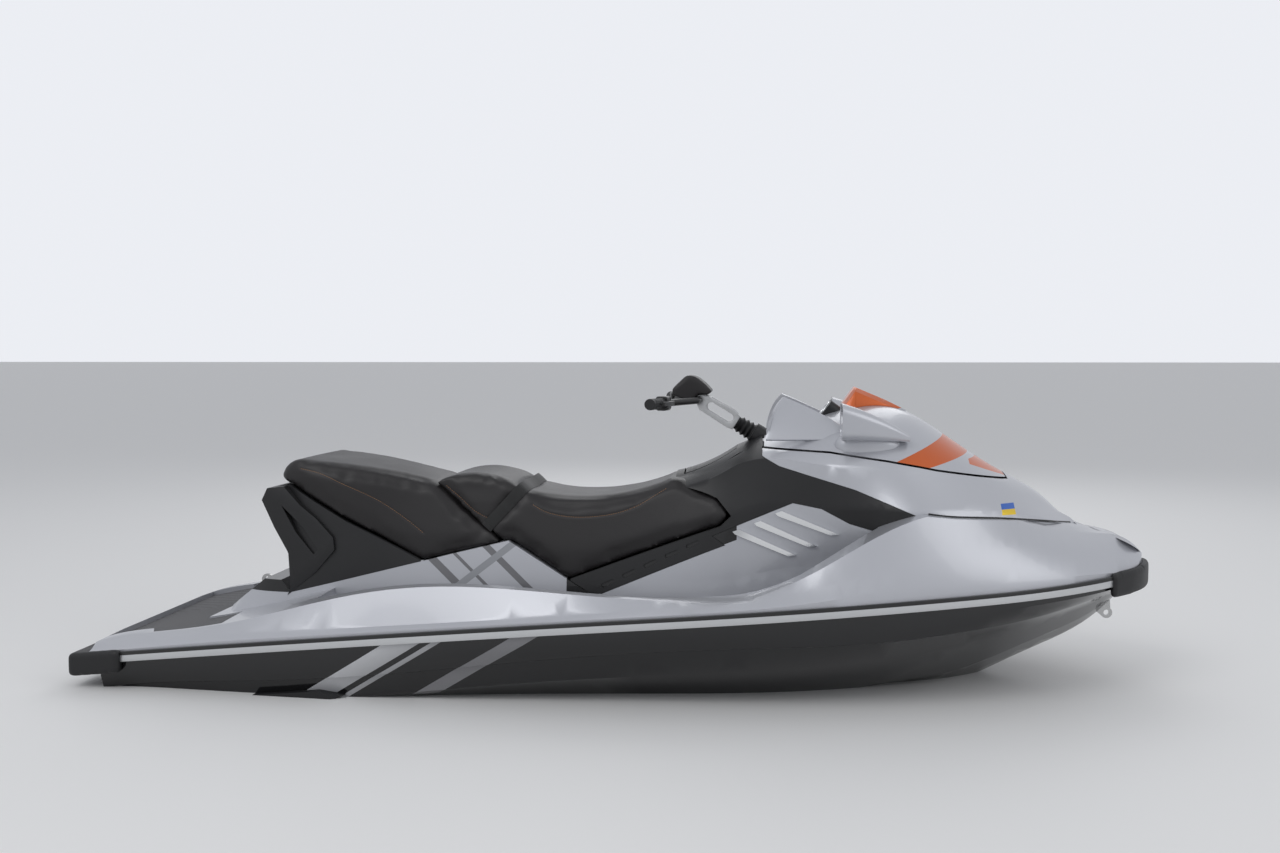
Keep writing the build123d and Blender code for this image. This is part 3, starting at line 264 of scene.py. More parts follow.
# Deck, front panel, storage cover and mirror pods: laminate sprayed in one silver metallic paint
# under clear lacquer. The core behind the side vents and the rear cowl is painted near-black as painted
# shade for the dark inside the vents, and the pedestal has slanted stripes.
silver = (0.50, 0.51, 0.545)


def silver_paint(name):
    """Silver under clear lacquer, with metal flake in its shine."""
    paint = Finish(name, silver, 0.32, metallic=0.35, coat=0.45)
    flake = paint.cells(1400.0) * 0.10 + 0.25
    paint.feed("Roughness", flake + paint.noise(6.0, 3.0) * 0.06)
    return paint


pedestal_y, pedestal_z, pedestal_x = 0.30, 0.235, -0.10
slash_slope, slash_runs = 1.1, ((-0.20, -0.165), (-0.10, -0.085), (0.02, 0.05))
bar_slope, bar_run = 1.3, (-0.90, -0.865)
dark_grey, mid_grey, vent_shade_black = (0.17, 0.17, 0.18), (0.30, 0.31, 0.33), (0.008, 0.008, 0.008)
vent_ends, cowl_end, core_y, core_z = (-0.16, 0.37), -0.60, 0.262, 0.262
deck_paint = silver_paint("deck_silver")
on_pedestal = (abs(deck_paint.y) < pedestal_y) * (deck_paint.z > pedestal_z) * (deck_paint.x < pedestal_x)
slash_run = deck_paint.x + deck_paint.z * slash_slope
slashes = sum(slash_run.between(*ends) for ends in slash_runs) * on_pedestal
cross_bar = (deck_paint.x - deck_paint.z * bar_slope).between(*bar_run) * on_pedestal
vent_foot = deck_paint.x * 0.4104 + 0.2965
cowl_foot = deck_paint.x * 0.2424 + 0.518
# Painted shade: the deck core seen through the vent slots and under the rear cowl is painted near-black,
# standing in for the shade inside.
behind_vents = deck_paint.x.between(*vent_ends) * (deck_paint.z > vent_foot)
behind_cowl = (deck_paint.x < cowl_end) * (deck_paint.z > cowl_foot)
vent_shade = (behind_vents + behind_cowl) * (abs(deck_paint.y) < core_y) * (deck_paint.z > core_z)
deck_paint.paint((slashes, dark_grey), (cross_bar, mid_grey), (vent_shade, vent_shade_black))
deck_moulding = moulding("deck", deck_paint)

ramp_aft, ramp_fore, ramp_half_width, ramp_foot = 0.150, 0.366, 0.27, 0.575
ramp_drop, ramp_length, ramp_fade = 0.052, 0.195, 0.10


def settled(piece):
    """The console's tail, cowls and core below it lowered in a ramp down to the seat's nose."""
    for vertex in piece.data.vertices:
        x, y, z = vertex.co
        if ramp_aft < x < ramp_fore and abs(y) < ramp_half_width and z > ramp_foot:
            fade = min(1.0, (z - ramp_foot) / ramp_fade)
            vertex.co.z = z - ramp_drop * (ramp_fore - x) / ramp_length * fade


settled(deck_moulding)

sticker_x, sticker_z, sticker_middle = (1.157, 1.202), (0.541, 0.572), 0.5565
sticker_yellow, sticker_blue, pale_silver = (0.80, 0.55, 0.02), (0.02, 0.12, 0.50), (0.56, 0.57, 0.60)
panel_paint = silver_paint("panel_silver")
sticker = panel_paint.x.between(*sticker_x) * panel_paint.z.between(*sticker_z) * (panel_paint.y < 0.0)
halves = panel_paint.mixed(panel_paint.z > sticker_middle, sticker_yellow, sticker_blue)
panel_paint.paint((panel_paint.noise(3.0) * 0.2, pale_silver), (sticker, halves))
moulding("front_panel", panel_paint)
for part_node in ("mirror_pod_starboard", "mirror_pod_port"):
    moulding(part_node, panel_paint, bevel=0.003)

orange, flash_aft = (0.60, 0.11, 0.012), 1.077
cover_paint = silver_paint("cover_silver")
band_top = cover_paint.x * 0.425 + 0.339
band_foot = cover_paint.x * 0.25 + 0.4435
flash_top = cover_paint.x * 0.10 + 0.590
flash_foot = cover_paint.x * -0.34 + 1.050
band = (cover_paint.z < band_top) * (cover_paint.z > band_foot)
flash = (cover_paint.x > flash_aft) * (cover_paint.z > flash_foot) * (cover_paint.z < flash_top)
outside = make(cover_paint.tree, "ShaderNodeAttribute", {"attribute_name": "outside"}, out="Fac")
cover_paint.paint(((band + flash) * outside, orange))
cover_moulding = moulding("cover_shell", cover_paint)
outside_faces = cover_moulding.data.attributes.new("outside", "FLOAT", "FACE")
for polygon, painted_share in zip(cover_moulding.data.polygons, outside_faces.data):
    painted_share.value = float(polygon.normal.z > 0)

tip_slope, tip_z = 0.13, 0.733
visor_paint = silver_paint("visor_paint")
visor_paint.paint((visor_paint.z - visor_paint.x * tip_slope > tip_z, orange))
moulding("cover_visor", visor_paint, bevel=0.004)

# Wind wings: a thin curved blade on each rear corner of the cover, leaning in to its top edge,
# and a round fairing under each mirror pod, both moulded with the cover. A station gives x,
# the height of the blade's top edge and its distance from the middle.
blade_stations = (
    (0.458, 0.785, 0.204), (0.470, 0.832, 0.194), (0.488, 0.866, 0.184),
    (0.508, 0.886, 0.176), (0.540, 0.874, 0.173), (0.580, 0.856, 0.174),
    (0.620, 0.838, 0.179), (0.660, 0.820, 0.186), (0.694, 0.796, 0.194),
)
blade_foot, blade_foot_y, blade_rows, blade_bulge = 0.752, 0.207, 6, 0.006
blade_wall, blade_edge, blade_corner = 0.013, 0.004, math.radians(50)
fairing_x, fairing_y, fairing_z, fairing_half = 0.762, 0.250, 0.742, (0.098, 0.038, 0.050)
for side_name, side in (("starboard", -1), ("port", 1)):
    bpy.ops.object.select_all(action="DESELECT")
    bays = len(blade_stations) - 1
    bpy.ops.mesh.primitive_grid_add(x_subdivisions=bays, y_subdivisions=blade_rows, size=1)
    blade = bpy.context.object
    blade.name = "wind_wing_" + side_name
    for vertex in blade.data.vertices:
        x, top, lean = blade_stations[round((vertex.co.x + 0.5) * bays)]
        up = vertex.co.y + 0.5
        out = blade_foot_y + (lean - blade_foot_y) * up - blade_bulge * math.sin(math.pi * up)
        vertex.co = (x, side * out, blade_foot + (top - blade_foot) * up)
    wall = blade.modifiers.new("wall", "SOLIDIFY")
    wall.thickness, wall.offset = blade_wall, 1.0 if side < 0 else -1.0
    bpy.ops.object.modifier_apply(modifier=wall.name)
    bpy.ops.object.mode_set(mode="EDIT")
    bpy.ops.mesh.select_all(action="SELECT")
    bpy.ops.mesh.normals_make_consistent(inside=False)
    bpy.ops.object.mode_set(mode="OBJECT")
    edge = blade.modifiers.new("edge", "BEVEL")
    edge.width, edge.segments, edge.limit_method, edge.angle_limit = blade_edge, 3, "ANGLE", blade_corner
    bpy.ops.object.modifier_apply(modifier=edge.name)
    fine = blade.modifiers.new("fine", "SUBSURF")
    fine.levels = fine.render_levels = 1
    bpy.ops.object.modifier_apply(modifier=fine.name)
    bpy.ops.object.shade_smooth_by_angle(angle=blade_corner)
    blade.data.materials.append(panel_paint.material)
    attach(blade, "storage_cover")
    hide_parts("cover_wings")
    bpy.ops.object.select_all(action="DESELECT")
    bpy.ops.mesh.primitive_uv_sphere_add(segments=40, ring_count=24, radius=1)
    fairing = bpy.context.object
    fairing.name = "pod_fairing_" + side_name
    fairing_place = Matrix.Translation((fairing_x, side * fairing_y, fairing_z))
    fairing.data.transform(fairing_place @ Matrix.Diagonal((*fairing_half, 1)))
    bpy.ops.object.shade_smooth()
    fairing.data.materials.append(panel_paint.material)
    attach(fairing, "storage_cover")

# Cowls, console, lid and handle: moulded plastic in satin black with a fine leather-like grain,
# clipped over the core below the seat.
cowl_plastic = Finish("cowl_plastic", (0.011, 0.011, 0.012), 0.38, shine=0.4)
cowl_plastic.bump(cowl_plastic.cells(620.0) + cowl_plastic.noise(240.0, 3.0) * 0.5, 0.00012)
cowl_plastic.paint((cowl_plastic.noise(5.0, 4.0), (0.020, 0.020, 0.021)))
cowl_plastic.worn(0.08, 7.0)
for part_node, eased in (
    ("rear_cowl", 0.0), ("side_cowl_starboard", 0.0), ("side_cowl_port", 0.0), ("console", 0.0),
    ("glove_box_lid", 0.0), ("grab_handle", 0.004), ("gauge_pod", 0.0), ("fuel_cap", 0.0),
):
    settled(moulding(part_node, cowl_plastic, bevel=eased))

# Seat: foam cushions under black vinyl for passenger, bolster and driver, and the pad on the bars.
# One form is cut along the slanted seams, swelled by pressure inside its cover, drawn taut again
# and sewn with tan thread. Outlines are x, z in side view.
vinyl = Finish("seat_vinyl", (0.011, 0.010, 0.011), 0.42, shine=0.4)
vinyl.bump(vinyl.cells(520.0) * 0.7 + vinyl.noise(160.0, 4.0) * 0.6, 0.00025)
vinyl.paint((vinyl.noise(4.0, 5.0), (0.022, 0.020, 0.020)))
vinyl.worn(0.09, 6.0)
cutter_half_width, cover_pressure, pressure_steps, glued_height = 0.4, 4, 12, 0.08


def side_cutter(outline):
    """A closed prism right across the craft, with the outline as its side view."""
    count = len(outline)
    corners = [(x, y, z) for y in (-cutter_half_width, cutter_half_width) for x, z in outline]
    sides = [(n, (n + 1) % count, count + (n + 1) % count, count + n) for n in range(count)]
    mesh = bpy.data.meshes.new("seam_cutter")
    mesh.from_pydata(corners, [], [range(count), range(count, 2 * count)] + sides)
    shape = bmesh.new()
    shape.from_mesh(mesh)
    bmesh.ops.recalc_face_normals(shape, faces=shape.faces)
    shape.to_mesh(mesh)
    shape.free()
    cutter = bpy.data.objects.new("seam_cutter", mesh)
    bpy.context.collection.objects.link(cutter)
    return cutter


def cushion(name, sources, node, outline, voxel, rounding, swell):
    """A cushion cut from CAD foam along its seams, its edges eased and its cover swelled by pressure."""
    bpy.ops.object.select_all(action="DESELECT")
    form = bmesh.new()
    for source in sources:
        form.from_mesh(nodes[source].data)
    bmesh.ops.remove_doubles(form, verts=form.verts, dist=weld)
    mesh = bpy.data.meshes.new(name)
    form.to_mesh(mesh)
    form.free()
    pad = bpy.data.objects.new(name, mesh)
    bpy.context.collection.objects.link(pad)
    bpy.context.view_layer.objects.active = pad
    pad.select_set(True)
    if outline:
        cutter = side_cutter(outline)
        seam_cut = pad.modifiers.new("seams", "BOOLEAN")
        seam_cut.operation, seam_cut.object, seam_cut.solver = "INTERSECT", cutter, "EXACT"
        bpy.ops.object.modifier_apply(modifier=seam_cut.name)
        bpy.data.objects.remove(cutter)
    remesh = pad.modifiers.new("remesh", "REMESH")
    remesh.mode, remesh.voxel_size = "VOXEL", voxel
    bpy.ops.object.modifier_apply(modifier=remesh.name)
    ease = pad.modifiers.new("ease", "SMOOTH")
    ease.factor, ease.iterations = 0.5, rounding
    bpy.ops.object.modifier_apply(modifier=ease.name)
    start = [v.co.copy() for v in pad.data.vertices]
    cloth = pad.modifiers.new("cloth", "CLOTH")
    cloth.settings.use_pressure = True
    cloth.settings.uniform_pressure_force = cover_pressure
    cloth.settings.effector_weights.gravity = 0
    for step in range(1, pressure_steps + 1):
        bpy.context.scene.frame_set(step)
    bpy.ops.object.modifier_apply(modifier=cloth.name)
    bpy.context.scene.frame_set(1)
    low = min(v.z for v in start)
    for vertex, was in zip(pad.data.vertices, start):
        move = vertex.co - was
        if move.length > swell:
            move *= swell / move.length
        vertex.co = was + move * min(1.0, max(0.0, (was.z - low) / glued_height))
    taut = pad.modifiers.new("taut", "SMOOTH")
    taut.factor, taut.iterations = 0.5, 10
    bpy.ops.object.modifier_apply(modifier=taut.name)
    fine = pad.modifiers.new("fine", "SUBSURF")
    fine.levels = fine.render_levels = 1
    bpy.ops.object.modifier_apply(modifier=fine.name)
    bpy.ops.object.shade_smooth()
    pad.data.materials.clear()
    pad.data.materials.append(vinyl.material)
    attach(pad, node_body[node])
    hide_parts(node)
    return pad


seat_forms = ("seat_passenger", "seat_bolster", "seat_driver")
bolster_seam = [
    (-0.594, 0.604), (-0.578, 0.597), (-0.558, 0.581), (-0.510, 0.536), (-0.462, 0.497), (-0.426, 0.468),
]
passenger_outline = (
    [(-1.20, 0.75), (-0.598, 0.75)] + bolster_seam + [(-0.366, 0.424), (-0.33, 0.30), (-1.20, 0.30)]
)
bolster_outline = bolster_seam + [(-0.292, 0.615), (-0.240, 0.672), (-0.240, 0.75), (-0.597, 0.75)]
driver_outline = [
    (-0.424, 0.466), (-0.289, 0.613), (-0.236, 0.671), (-0.236, 0.75),
    (0.45, 0.75), (0.45, 0.25), (-0.20, 0.25), (-0.362, 0.423),
]
seat_passenger = cushion(
    "passenger_cushion", seat_forms, "seat_passenger", passenger_outline,
    voxel=0.0076, rounding=8, swell=0.006,
)
seat_bolster = cushion(
    "bolster_cushion", seat_forms, "seat_bolster", bolster_outline,
    voxel=0.006, rounding=8, swell=0.006,
)
seat_driver = cushion(
    "driver_cushion", seat_forms, "seat_driver", driver_outline,
    voxel=0.0076, rounding=8, swell=0.006,
)
cushion("bar_pad_cover", ("bar_pad",), "bar_pad", None, voxel=0.003, rounding=6, swell=0.002)

span_parts, beyond_flank = 24, 1.2


def smooth_run(points, step):
    """Points at even steps along a smooth line through the given ones."""
    line = []
    reached = [points[0]] + list(points) + [points[-1]]
    for corners in zip(reached, reached[1:], reached[2:], reached[3:]):
        a, b, c, d = (Vector(corner) for corner in corners)
        for n in range(span_parts):
            t = n / span_parts
            bend = (2 * a - 5 * b + 4 * c - d) * t**2 + (3 * b - a - 3 * c + d) * t**3
            line.append(0.5 * ((2 * b) + (c - a) * t + bend))
    line.append(Vector(points[-1]))
    even, left = [line[0]], step
    for a, b in zip(line, line[1:]):
        span = (b - a).length
        while span > 1e-9 and left <= span:
            a = a + (b - a) * (left / span)
            span = (b - a).length
            even.append(a.copy())
            left = step
        left -= span
    return even


def on_surface(target, run_xz, side, step):
    """Where a side-view line meets a piece's flank: places and outward normals."""
    found = []
    for x, z in smooth_run(run_xz, step):
        hit, place, normal, _ = target.ray_cast(Vector((x, side * beyond_flank, z)), Vector((0, -side, 0)))
        if hit:
            found.append((place.copy(), normal.copy()))
    return found


thread = Finish("tan_thread", (0.42, 0.20, 0.08), 0.7, sheen=0.2)
thread.bump(thread.noise(3000.0), 0.0002)
stitch_length, stitch_pitch, thread_r, thread_sunk = 0.0052, 0.0075, 0.0008, 0.0010
groove_depth, groove_reach = 0.0022, 0.007
bpy.ops.mesh.primitive_uv_sphere_add(segments=8, ring_count=6, radius=1)
stitch_form = bpy.context.object
stitch_unit = stitch_form.data
bpy.data.objects.remove(stitch_form)


def sewn(name, pad, run_xz):
    """A sewn seam on both flanks of a cushion: the cover drawn in, and a row of stitches."""
    places, line = [], []
    for side in (-1, 1):
        hits = on_surface(pad, run_xz, side, stitch_pitch)
        line += [p for p, _ in hits]
        for (p, n), (q, _) in zip(hits, hits[1:]):
            along = (q - p).normalized()
            across = n.cross(along).normalized()
            turn = Matrix((along, across, n)).transposed().to_4x4()
            size = Matrix.Diagonal((stitch_length / 2, thread_r, thread_r, 1))
            places.append(Matrix.Translation(p + along * stitch_pitch / 2 - n * thread_sunk) @ turn @ size)
    tree = KDTree(len(line))
    for n, p in enumerate(line):
        tree.insert(p, n)
    tree.balance()
    shifts = []
    for vertex in pad.data.vertices:
        _, _, gap = tree.find(vertex.co)
        drawn = groove_depth * (1 - gap / groove_reach) ** 2 if gap < groove_reach else 0.0
        shifts.append(vertex.normal * drawn)
    for vertex, shift in zip(pad.data.vertices, shifts):
        vertex.co -= shift
    joined = bmesh.new()
    for place in places:
        first = len(joined.verts)
        joined.from_mesh(stitch_unit)
        joined.verts.ensure_lookup_table()
        bmesh.ops.transform(joined, matrix=place, verts=joined.verts[first:])
    mesh = bpy.data.meshes.new(name)
    joined.to_mesh(mesh)
    joined.free()
    stitches = bpy.data.objects.new(name, mesh)
    bpy.context.collection.objects.link(stitches)
    mesh.materials.append(thread.material)
    for polygon in mesh.polygons:
        polygon.use_smooth = True
    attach(stitches, "hull")


sewn("passenger_stitching", seat_passenger, [
    (-1.02, 0.655), (-0.95, 0.640), (-0.878, 0.607), (-0.771, 0.556), (-0.68, 0.496), (-0.62, 0.45),
])
sewn("driver_stitching", seat_driver, [
    (-0.275, 0.545), (-0.225, 0.520), (-0.142, 0.507), (-0.038, 0.514),
    (0.045, 0.538), (0.11, 0.575), (0.15, 0.600),
])
sewn("bolster_stitching", seat_bolster, [(-0.560, 0.600), (-0.515, 0.566), (-0.462, 0.522), (-0.415, 0.500)])

# Strap: ribbed webbing for the passenger to hold, laid over the seam between the bolster and
# the driver's cushion. It follows the cushions from flank to flank and lies just above them.
webbing = Finish("strap_webbing", (0.018, 0.018, 0.018), 0.75, sheen=0.3)
ribs = make(
    webbing.tree, "ShaderNodeTexWave", {"bands_direction": "X"}, {"Vector": webbing.place, "Scale": 260.0}
)
webbing.bump(ribs, 0.0004)
strap_up, strap_ahead = Vector((0.675, 0, 0.738)), Vector((0.738, 0, -0.675))
strap_centre = Vector((-0.425, 0, 0.468)) + strap_up * 0.03
strap_half, strap_lift, strap_thick, strap_droop = 0.019, 0.0015, 0.0032, 0.0012
strap_end, strap_pitch, outside_seat = 98, 2, 0.6
across_shifts = (-1.0, -0.6, 0.0, 0.6, 1.0)
rows = []
for turn in range(-strap_end, strap_end + 1, strap_pitch):
    out = strap_up * math.cos(math.radians(turn)) + Vector((0, math.sin(math.radians(turn)), 0))
    reach = 0.0
    for shift in across_shifts:
        middle = strap_centre + strap_ahead * shift * strap_half
        for target in (seat_passenger, seat_bolster, seat_driver):
            hit, place, _, _ = target.ray_cast(middle + out * outside_seat, -out)
            if hit:
                reach = max(reach, (place - middle).dot(out))
    rows.append((out, reach + strap_lift))
strap_bays, across_bays = len(rows) - 1, len(across_shifts) - 1
bpy.ops.object.select_all(action="DESELECT")
bpy.ops.mesh.primitive_grid_add(x_subdivisions=strap_bays, y_subdivisions=across_bays, size=1)
strap = bpy.context.object
strap.name = "seat_strap_webbing"
for vertex in strap.data.vertices:
    out, reach = rows[round((vertex.co.x + 0.5) * strap_bays)]
    shift = across_shifts[round((vertex.co.y + 0.5) * across_bays)]
    vertex.co = strap_centre + strap_ahead * shift * strap_half + out * (reach - strap_droop * shift * shift)
weave = strap.modifiers.new("weave", "SOLIDIFY")
weave.thickness, weave.offset = strap_thick, 0.0
bpy.ops.object.modifier_apply(modifier=weave.name)
bpy.ops.object.mode_set(mode="EDIT")
bpy.ops.mesh.select_all(action="SELECT")
bpy.ops.mesh.normals_make_consistent(inside=False)
bpy.ops.object.mode_set(mode="OBJECT")
bpy.ops.object.shade_smooth_by_angle(angle=corner_angle)
strap.data.materials.append(webbing.material)
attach(strap, "hull")
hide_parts("seat_strap")

# Mats: dark foam sheet glued to the platform and the footwell floors, with pale specks
# and a herringbone of cut grooves that drain it, painted near-black as painted shade in the grooves.
groove_pitch, groove_width, groove_shade = 0.042, 0.004, (0.02, 0.02, 0.02)
speck_grey, foam_grey = (0.30, 0.30, 0.31), (0.085, 0.085, 0.09)
mat_foam = Finish("mat_foam", foam_grey, 0.85, sheen=0.1)
speck = mat_foam.cells(430.0)
groove_run = mat_foam.x + abs(mat_foam.y) + 10.0
grooves = groove_run.maths("MODULO", groove_run, groove_pitch) < groove_width
speckled = mat_foam.ramp(speck, (0.0, speck_grey), (0.35, foam_grey))
# Painted shade: the groove lines are coloured near-black for the shade inside them, and also bumped in.
mat_foam.feed("Base Color", mat_foam.mixed(grooves, speckled, groove_shade))
mat_foam.bump(speck * 0.5 - grooves * 3.0, 0.0006)
for part_node in ("platform_mat", "footwell_mat_starboard", "footwell_mat_port"):
    moulding(part_node, mat_foam)

# Rub rails: an extruded aluminium strip over the bond between hull and deck,
# with a black vinyl insert along its upper half.
rail_shine, insert_black, insert_foot = 0.8, (0.015, 0.015, 0.015), 0.003
rail_metal = Finish("rail_metal", (0.60, 0.61, 0.62), 0.32, metallic=rail_shine)
station = rail_metal.x * (1 / cad_high[0])
bond_line = station * 0.133 - station * station * 0.033 + 0.250
insert = rail_metal.z - bond_line > insert_foot
rail_metal.paint((insert, insert_black))
rail_metal.feed("Metallic", rail_shine - insert * rail_shine)
for part_node in ("rub_rail_starboard", "rub_rail_port"):
    moulding(part_node, rail_metal, bevel=0.002)

# Bumpers, steering boot, plugs, sponsons and grips: moulded rubber, dull and lightly scuffed.
# The bumpers are rounded all over, and each grip is a ribbed sleeve turned on its bar.
bumper_voxel, bumper_rounding, bumper_swell = 0.004, 24, 0.006
rubber = Finish("moulded_rubber", (0.012, 0.012, 0.013), 0.50, shine=0.4)
rubber.bump(rubber.noise(420.0, 4.0), 0.0002)
rubber.worn(0.12, 12.0)
for part_node in ("bow_bumper", "stern_bumper_starboard", "stern_bumper_port"):
    bumper = moulding(part_node, rubber)
    bpy.context.view_layer.objects.active = bumper
    fill_out = bumper.modifiers.new("fill_out", "REMESH")
    fill_out.mode, fill_out.voxel_size = "VOXEL", bumper_voxel
    round_off = bumper.modifiers.new("round_off", "SMOOTH")
    round_off.factor, round_off.iterations = 0.5, bumper_rounding
    swell_out = bumper.modifiers.new("swell_out", "DISPLACE")
    swell_out.strength, swell_out.mid_level = bumper_swell, 0.0
    for step in (fill_out, round_off, swell_out):
        bpy.ops.object.modifier_apply(modifier=step.name)
    bpy.ops.object.shade_smooth()
for part_node in ("steering_boot", "drain_plugs", "sponson_starboard", "sponson_port"):
    moulding(part_node, rubber)

grip_bore, grip_core, grip_rib, grip_flange, end_hole = 0.0113, 0.0150, 0.0168, 0.0170, 0.004
grip_length, grip_past_bar, end_wall = 0.118, 0.006, 0.0065
rib_pitch, rib_start, ribbed_length = 0.0055, 0.011, 0.098
bar_out_x, bar_out_y, bar_out_z = 0.118, 0.395, 0.870
bar_in_x, bar_in_y, bar_in_z = 0.155, 0.215, 0.868
profile = [(end_hole, 0.0), (0.0166, 0.0), (grip_flange, 0.003), (grip_flange, 0.009)]
for n in range(int(ribbed_length / rib_pitch)):
    rib = rib_start + n * rib_pitch
    profile += [(grip_core, rib), (grip_rib, rib + 0.0015)]
    profile += [(grip_rib, rib + 0.0035), (grip_core, rib + 0.0045)]
profile += [
    (grip_flange, grip_length - 0.006), (grip_flange, grip_length), (grip_bore, grip_length),
    (grip_bore, end_wall), (end_hole, end_wall - 0.0001),
]
for side_name, side in (("starboard", -1), ("port", 1)):
    bar_out = Vector((bar_out_x, side * bar_out_y, bar_out_z))
    bar_in = Vector((bar_in_x, side * bar_in_y, bar_in_z))
    bar_way = (bar_in - bar_out).normalized()
    mesh = bpy.data.meshes.new("grip_" + side_name + "_sleeve")
    mesh.from_pydata([(r, 0, h) for r, h in profile], [(n, n + 1) for n in range(len(profile) - 1)], [])
    sleeve = bpy.data.objects.new(mesh.name, mesh)
    bpy.context.collection.objects.link(sleeve)
    bpy.ops.object.select_all(action="DESELECT")
    bpy.context.view_layer.objects.active = sleeve
    sleeve.select_set(True)
    spin = sleeve.modifiers.new("turn", "SCREW")
    spin.steps = spin.render_steps = 40
    spin.use_merge_vertices = True
    bpy.ops.object.modifier_apply(modifier=spin.name)
    along_bar = bar_way.to_track_quat("Z", "Y").to_matrix().to_4x4()
    sleeve.data.transform(Matrix.Translation(bar_out - bar_way * grip_past_bar) @ along_bar)
    bpy.ops.object.mode_set(mode="EDIT")
    bpy.ops.mesh.select_all(action="SELECT")
    bpy.ops.mesh.remove_doubles(threshold=0.00005)
    bpy.ops.mesh.normals_make_consistent(inside=False)
    bpy.ops.object.mode_set(mode="OBJECT")
    bpy.ops.object.shade_smooth_by_angle(angle=corner_angle)
    sleeve.data.materials.append(rubber.material)
    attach(sleeve, "steering")
    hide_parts("grip_" + side_name)

# Steering and jet metal: cast alloy, blasted and clear coated, with a fine pitted skin, steel
# for what is turned, bent or pressed, and black coating on the bar, its controls and the grate.
cast_alloy = Finish("cast_alloy", (0.40, 0.405, 0.41), 0.38, metallic=0.85)
cast_alloy.bump(cast_alloy.noise(700.0, 5.0), 0.00015)
cast_alloy.paint((cast_alloy.noise(18.0, 4.0), (0.54, 0.545, 0.55)))
moulding("steering_riser", cast_alloy, bevel=0.0015)
for part_node in ("jet_pump", "steering_nozzle", "reverse_bucket", "ride_plate", "engine_block"):
    moulding(part_node, cast_alloy)

steel = Finish("brushed_steel", (0.50, 0.50, 0.50), 0.28, metallic=0.95)
steel.feed("Roughness", steel.noise(60.0, 6.0) * 0.2 + 0.18)
for part_node in ("impeller", "bow_eye", "stern_eyes", "tow_eye", "step_bracket", "boarding_step"):
    moulding(part_node, steel)

bar_black = Finish("bar_black", (0.02, 0.02, 0.02), 0.35, metallic=0.2)
bar_black.worn(0.08, 30.0)
for part_node, eased in (
    ("handlebar", 0.0), ("throttle_lever", 0.0), ("controls_starboard", 0.002), ("controls_port", 0.002),
    ("intake_grate", 0.0),
):
    moulding(part_node, bar_black, bevel=eased)

# Bright trim and mirrors: plated fins set in the pedestal below the side cowls,
# and silvered glass held in the mirror pods.
plated = Finish("plated_trim", (0.72, 0.73, 0.74), 0.10, metallic=1.0)
plated.feed("Roughness", plated.noise(25.0, 3.0) * 0.1 + 0.06)
for part_node in ("side_fins_starboard", "side_fins_port"):
    moulding(part_node, plated)
silvered = Finish("silvered_glass", (0.82, 0.84, 0.86), 0.03, metallic=1.0, coat=1.0)
silvered.feed("Roughness", silvered.noise(8.0) * 0.03 + 0.02)
for part_node in ("mirror_glass_starboard", "mirror_glass_port"):
    moulding(part_node, silvered)

# Gauge: a round instrument in the pod under the visor, facing the driver. Its black face has
# pale ticks and a small display, and sits inside a bright bezel.
dial_centre, dial_out, dial_up = Vector((0.6392, 0, 0.8386)), Vector((-0.8, 0, 0.6)), Vector((0.6, 0, 0.8))
dial_turn = dial_out.to_track_quat("Z", "Y").to_euler()
dial_r, dial_thick, bezel_r, bezel_wire = 0.032, 0.002, 0.0325, 0.0026
tick_ring, tick_angle, tick_width, face_start = (0.0235, 0.0285), math.pi / 15, 0.05, 4.0
tick_white, display_grey = (0.75, 0.75, 0.72), (0.16, 0.20, 0.17)
display_half_width, display_half_height, display_drop = 0.014, 0.005, 0.006
dial_face = Finish("dial_face", (0.012, 0.012, 0.014), 0.12, coat=0.6)
face_up = (dial_face.x - dial_centre.x) * dial_up.x + (dial_face.z - dial_centre.z) * dial_up.z
square = dial_face.y * dial_face.y + face_up * face_up
radius = square.maths("SQRT", square)
angle = face_up.maths("ARCTAN2", dial_face.y, face_up) + face_start
ticks = (angle.maths("MODULO", angle, tick_angle) < tick_width) * radius.between(*tick_ring)
display = (abs(dial_face.y) < display_half_width) * (abs(face_up + display_drop) < display_half_height)
dial_face.paint((ticks, tick_white), (display, display_grey))
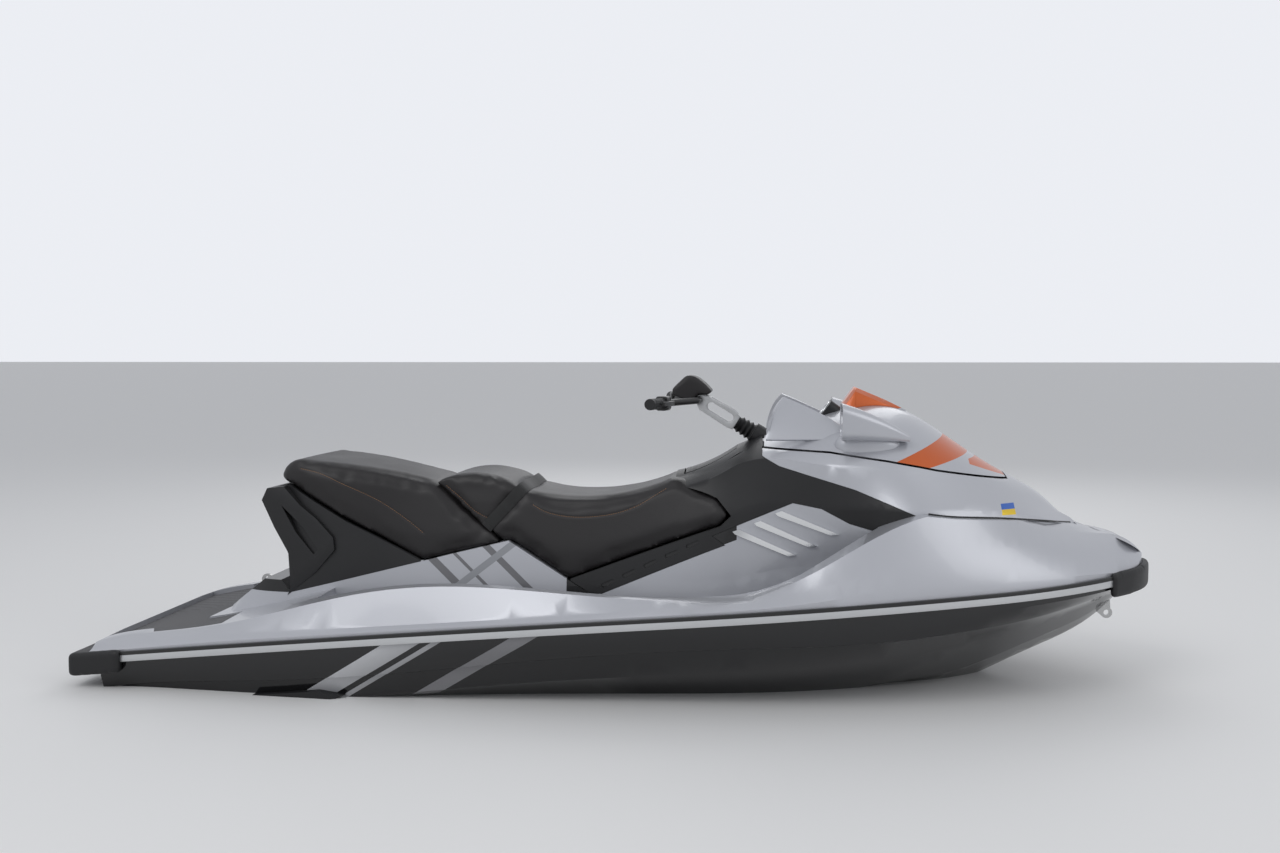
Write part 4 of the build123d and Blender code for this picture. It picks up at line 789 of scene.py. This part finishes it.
bpy.ops.object.select_all(action="DESELECT")
bpy.ops.mesh.primitive_cylinder_add(
    vertices=64, radius=dial_r, depth=dial_thick, location=dial_centre, rotation=dial_turn
)
dial = bpy.context.object
dial.name = "gauge_face"
dial.data.materials.append(dial_face.material)
bpy.ops.object.transform_apply(location=True, rotation=True, scale=True)
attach(dial, "storage_cover")
bpy.ops.object.select_all(action="DESELECT")
bpy.ops.mesh.primitive_torus_add(
    major_segments=64, minor_segments=12, major_radius=bezel_r, minor_radius=bezel_wire,
    location=dial_centre, rotation=dial_turn,
)
bezel = bpy.context.object
bezel.name = "gauge_bezel"
bezel.data.materials.append(plated.material)
bpy.ops.object.transform_apply(location=True, rotation=True, scale=True)
bpy.ops.object.shade_smooth()
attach(bezel, "storage_cover")

# Panel joint: a dark rubber bead seals the line where the front panel meets the deck,
# run along both flanks from the footwell to the bow. Its line is x, z in side view.
bow_seam = [(0.93, 0.554), (1.00, 0.545), (1.15, 0.534), (1.30, 0.516), (1.41, 0.494)]
seal_r, seal_sunk, seal_step = 0.0028, 0.4, 0.012
seal = Finish("joint_seal", (0.012, 0.012, 0.012), 0.5)
seal.bump(seal.noise(300.0), 0.0002)
for side_name, side in (("starboard", -1), ("port", 1)):
    hits = on_surface(bpy.data.objects["front_panel_moulding"], bow_seam, side, seal_step)
    curve = bpy.data.curves.new("bow_seal_" + side_name, "CURVE")
    curve.dimensions, curve.bevel_depth, curve.bevel_resolution = "3D", seal_r, 2
    spline = curve.splines.new("POLY")
    spline.points.add(len(hits) - 1)
    for point, (place, normal) in zip(spline.points, hits):
        point.co = (*(place - normal * seal_r * seal_sunk), 1)
    bead = bpy.data.objects.new(curve.name, curve)
    bpy.context.collection.objects.link(bead)
    bpy.ops.object.select_all(action="DESELECT")
    bpy.context.view_layer.objects.active = bead
    bead.select_set(True)
    bpy.ops.object.convert(target="MESH")
    bead = bpy.context.object
    bpy.ops.object.shade_smooth()
    bead.data.materials.append(seal.material)
    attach(bead, "hull")
